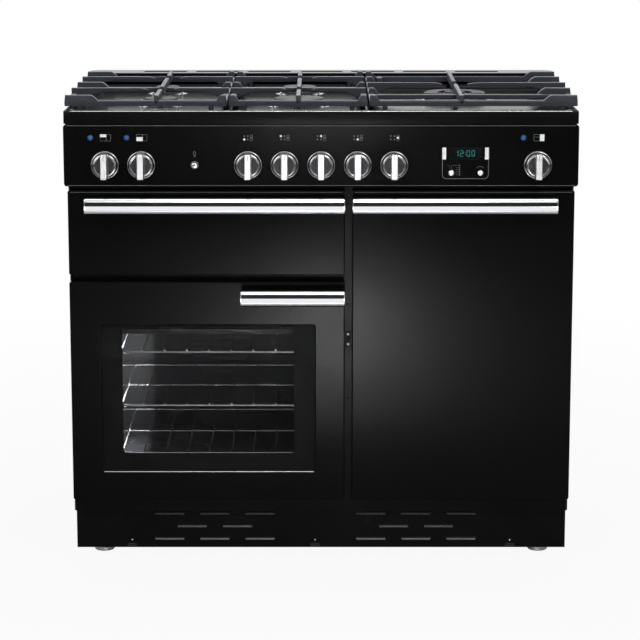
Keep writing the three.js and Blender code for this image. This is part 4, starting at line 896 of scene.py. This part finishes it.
# ---- Plinth, feet, cabinet and ovens ----
# Name, height, sideways shift and number of louvres in each row, and the grey of the hoods behind them: painted
# shade, darker in the higher rows, and a painted reflection of the floor in the lowest
LOUVRE_ROWS = [("upper", 89.8, 0, 3, deep_shade_grey), ("middle", 63.9, 45.3, 2, half_shade_grey), ("lower", 38, 0, 3, painted_light_grey)]
LOUVRE_GROUPS, LOUVRE_PITCH = (-303, 100.6), 90.6
LOUVRE_HALF = np.array([31.5, 0, 4])


def plinth_details():
    """Pressed lips round the plinth's louvres, with hoods that show in their lower part, their grey a painted
    reflection of the floor in the lowest row and painted shade higher up, a black sheet behind each as painted
    shade, dark plates of painted shade in notches along the plinth's lower edge, and a screw over each notch."""
    foot = corners("plinth")[0]
    face = foot[1]
    narrow = np.array([1.4, 0, 1.2])
    lips, shade_backings = [], []
    for row, z, shift, count, hood_shade in LOUVRE_ROWS:
        hoods = []
        for x in [group + shift + i * LOUVRE_PITCH for group in LOUVRE_GROUPS for i in range(count)]:
            low, high = (x, face, z) - LOUVRE_HALF, (x, face, z) + LOUVRE_HALF
            rings = [ring(low, high, "y", face + y, 0, 3, 3) for y in (0.3, -0.3)]
            rings += [ring(low + narrow, high - narrow, "y", face + y, 0, 2, 3) for y in (-1, 1)]
            lips.append(loft(rings, closed=True))
            # A black sheet behind each louvre: painted shade in place of the lit floor behind the plinth.
            shade_backings.append(block(low + (-1, 3.4, -1), high + (1, 4.6, 1), 0.4, 2, "y"))
            hoods.append(block(low + (0, 1.4, -1), high + (-3, 3.6, -3.4), 0.8, 2, "y"))
        # Each row of hoods in its own grey: painted shade higher up, a painted reflection of the floor lowest down.
        fixed(f"plinth_hoods_{row}", hood_shade, *hoods)
    fixed("plinth_lips", black_satin, *lips)
    fixed("plinth_slot_shade_backings", black_matt, *shade_backings)
    for i, x in enumerate((-379, -12, 379)):
        # A dark plate on the face for each notch: painted shade where the notch opens under the cooker.
        notch = block((x - 10, face - 0.2, foot[2]), (x + 10, face + 0.6, foot[2] + 9), 0.2, 4, "y")
        fixed(f"plinth_notch_shade_{i + 1}", rubber_and_shade, notch)
        fixed(f"plinth_screw_{i + 1}", smoked_chrome, screw_head((x, face, foot[2] + 15), 2.2, -1, "y"))


def frame_details():
    """A catch plate with two screws, and three holes drawn as dark discs of painted shade, on the strip of the
    frame between the doors.
    """
    face = corners("left_oven_liner")[0][1] - 2.3
    x, z = 53.3, 450
    catch = block((x - 4.5, face - 1.2, z - 16), (x + 4.5, face + 0.3, z + 16), 0.4, 2, "y")
    fixed("catch_plate_1", black_matt, catch)
    for end in (-1, 1):
        head = screw_head((x, face - 1.2, z + end * 10), 2.6, -0.9, "y")
        fixed(f"catch_screw_1_{end}", screw_steel, head)
    for i, z in enumerate((245, 330, 520)):
        # Dark discs for the holes: painted shade.
        fixed(f"catch_hole_shade_{i + 1}", rubber_and_shade, turned([(3.4, 0.2), (3.4, -0.3)], (x, face, z), sides=20))


def side_panels():
    """Enamelled sides: a flat sheet with rounded edges, a shallow pressed field and five screws."""
    for node, way in (("side_panel_left", -1), ("side_panel_right", 1)):
        low, high = corners(node)
        outer = (low if way < 0 else high)[0]
        rows = [(low, high, 2, 0.3, 2), (low, high, 0.8, 0, 2), (low, high, 0, 0.9, 2)]
        rows += [(low + 46, high - (0, 46, 60), *row) for row in ((0, 0, 16), (0.3, 1.2, 15), (1.5, 7, 12))]
        rings = [ring(a, b, "x", outer - way * deep, inset, corner) for a, b, deep, inset, corner in rows]
        fixed(f"{node}_sheet", side_black, loft(rings), replaces=[node])
        for i, (y, z) in enumerate(((0.12, 0.03), (0.5, 0.03), (0.88, 0.03), (0.12, 0.975), (0.88, 0.975))):
            _, y, z = low + (high - low) * (0, y, z)
            head = screw_head((outer - way * 0.2, y, z), 3.5, way * 0.2, "x")
            fixed(f"{node}_screw_{i}", screw_steel, head)


def back_details():
    """The back sheet with its rear face set in a little, and on it pressed ribs, a cover plate and screws."""
    low, high = corners("back_panel")
    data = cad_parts["back_panel"].data
    face = high[1] - 1.5
    points = np.array([v.co for v in data.vertices]) / MM
    points[points[:, 1] >= high[1] - 0.1, 1] = face
    faces = [list(polygon.vertices) for polygon in data.polygons]
    fixed("back_sheet", zinc, (points, faces), replaces=["back_panel"], sharp=30)
    left, right, foot, top = low[0] + 12, high[0] - 12, low[2], high[2]
    fixed("terminal_cover", black_sheet, block((250, face - 0.3, 150), (410, high[1] - 0.2, 250), 0.9, 6, "y"))
    heads = [(x, z) for x in np.linspace(left, right, 6) for z in (foot + 10, top - 10)]
    heads += [(x, z) for x in (left, right) for z in np.linspace(foot + 160, top - 160, 4)]
    heads += [(x, z) for z in (142, 258) for x in (270, 390)]
    for i, (x, z) in enumerate(heads):
        fixed(f"back_screw_{i}", screw_steel, screw_head((x, face, z), 3.6, 1.3, "y"))
    for k, x in enumerate((-400, -200, 0, 200)):
        rib = block((x - 11, face - 0.3, foot + 90), (x + 11, high[1] - 0.1, foot + 560), 1.3, 10, "y")
        fixed(f"back_rib_{k}", zinc, rib)


def level_wire(path, z, radius):
    """A round wire bent to a closed path that lies level."""
    ahead = np.roll(path, -1, axis=0) - np.roll(path, 1, axis=0)
    ahead /= np.linalg.norm(ahead, axis=1, keepdims=True)
    out = ahead[:, ::-1] * (1, -1)
    section = circle(radius, 10)
    level = path[:, None] + out[:, None] * section[:, :1]
    heights = np.broadcast_to(z + section[:, 1:], (*level.shape[:2], 1))
    return loft(np.concatenate([level, heights], axis=2), closed=True)


def wire_shelf(node, rods):
    """Chrome wire shelf: a thick frame with rounded corners, rods from front to back, and one rod across below."""
    low, high = corners(node)
    thick, half_rod = 2.5, 1.9
    x0, y0, _ = low + thick
    x1, y1, _ = high - thick
    x, y, z = (low + high) / 2
    meshes = [level_wire(rounded(x0, x1, y0, y1, 9, 5), z, thick)]
    for rod in np.linspace(low[0] + 45, high[0] - 45, rods):
        path = [(rod, low[1] + 0.8, z + 3.4), (rod, y, z + 3.4), (rod, y1, z + 3.4)]
        meshes.append(swept(circle(half_rod, 8), path))
    meshes.append(swept(circle(1.8, 8), [(x0, y, z - 1), (x, y, z - 1), (x1, y, z - 1)]))
    fixed(f"{node}_wires", shelf_chrome, *meshes, replaces=[node], sharp=60)


def front_foot(node):
    """An adjustable foot: a turned pad, a thread drawn as rings a millimetre apart, and a collar to turn it by."""
    low, high = corners(node)
    tall = high[2] - low[2]
    x, y, _ = (low + high) / 2
    pad = [(18.5, 0), (20, 1.4), (20, 7.5), (18.6, 9.4), (12, 11), (9, 12)]
    thread = [(6 - 0.55 * (k % 2), 13 + k) for k in range(40) if 13 + k < tall - 1]
    body = turned(pad + thread + [(5.2, tall)], (x, y, low[2]), "z", 40)
    collar = block((x - 9.5, y - 8, 13), (x + 9.5, y + 8, 20), 0.6, 4, corner_steps=1)
    piece(f"{node}_turned", node, zinc, body, collar, replaces=[node])


def rear_roller(node):
    """A rubber roller with a groove round its middle."""
    low, high = corners(node)
    half, _, r = (high - low) / 2
    side = [(r - 12, 1 - half), (r - 3, 1 - half), (r - 1.2, -half), (r, 2 - half), (r, -2), (r - 1, -1)]
    tyre = side + [(radius, -x) for radius, x in side[::-1]]
    piece(f"{node}_tyre", node, rubber_and_shade, turned(tyre, (low + high) / 2, "x"), replaces=[node])


def dress(material, *nodes):
    """Give solids that are shown as they are their finish, smooth where they are round."""
    for node in nodes:
        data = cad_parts[node].data
        data.materials.clear()
        data.materials.append(material)
        for polygon in data.polygons:
            polygon.material_index = 0
        data.polygons.foreach_set("use_smooth", [True] * len(data.polygons))
        data.set_sharp_from_angle(angle=math.radians(30))


control_panel()
for name in KNOBS:
    knob(name)
oven_marks()
burner_marks()
lamps()
timer()
light_button()
doors()
for door in DOORS:
    inner_panel_details(door)
handles()
hob()
burners()
for node in SUPPORTS:
    support(node)
vent_trim()
plinth_details()
frame_details()
side_panels()
back_details()
for k in (1, 2, 3):
    wire_shelf(f"left_oven_shelf_{k}", 9)
for k in (1, 2):
    wire_shelf(f"right_oven_shelf_{k}", 8)
for side in ("left", "right"):
    front_foot(f"front_foot_{side}")
    rear_roller(f"rear_roller_{side}")
dress(black_satin, "front_frame", "plinth")
dress(zinc, "base_tray", "gas_rail")
dress(oven_enamel, "left_oven_liner", "right_oven_liner", "grill_liner", *[f"{door}_inner" for door in DOORS])
dress(heater, "grill_element")
dress(alloy, "oven_fan_1", "oven_fan_2")
dress(brass, *[f"tap_spindle_{k}" for k in GAS])
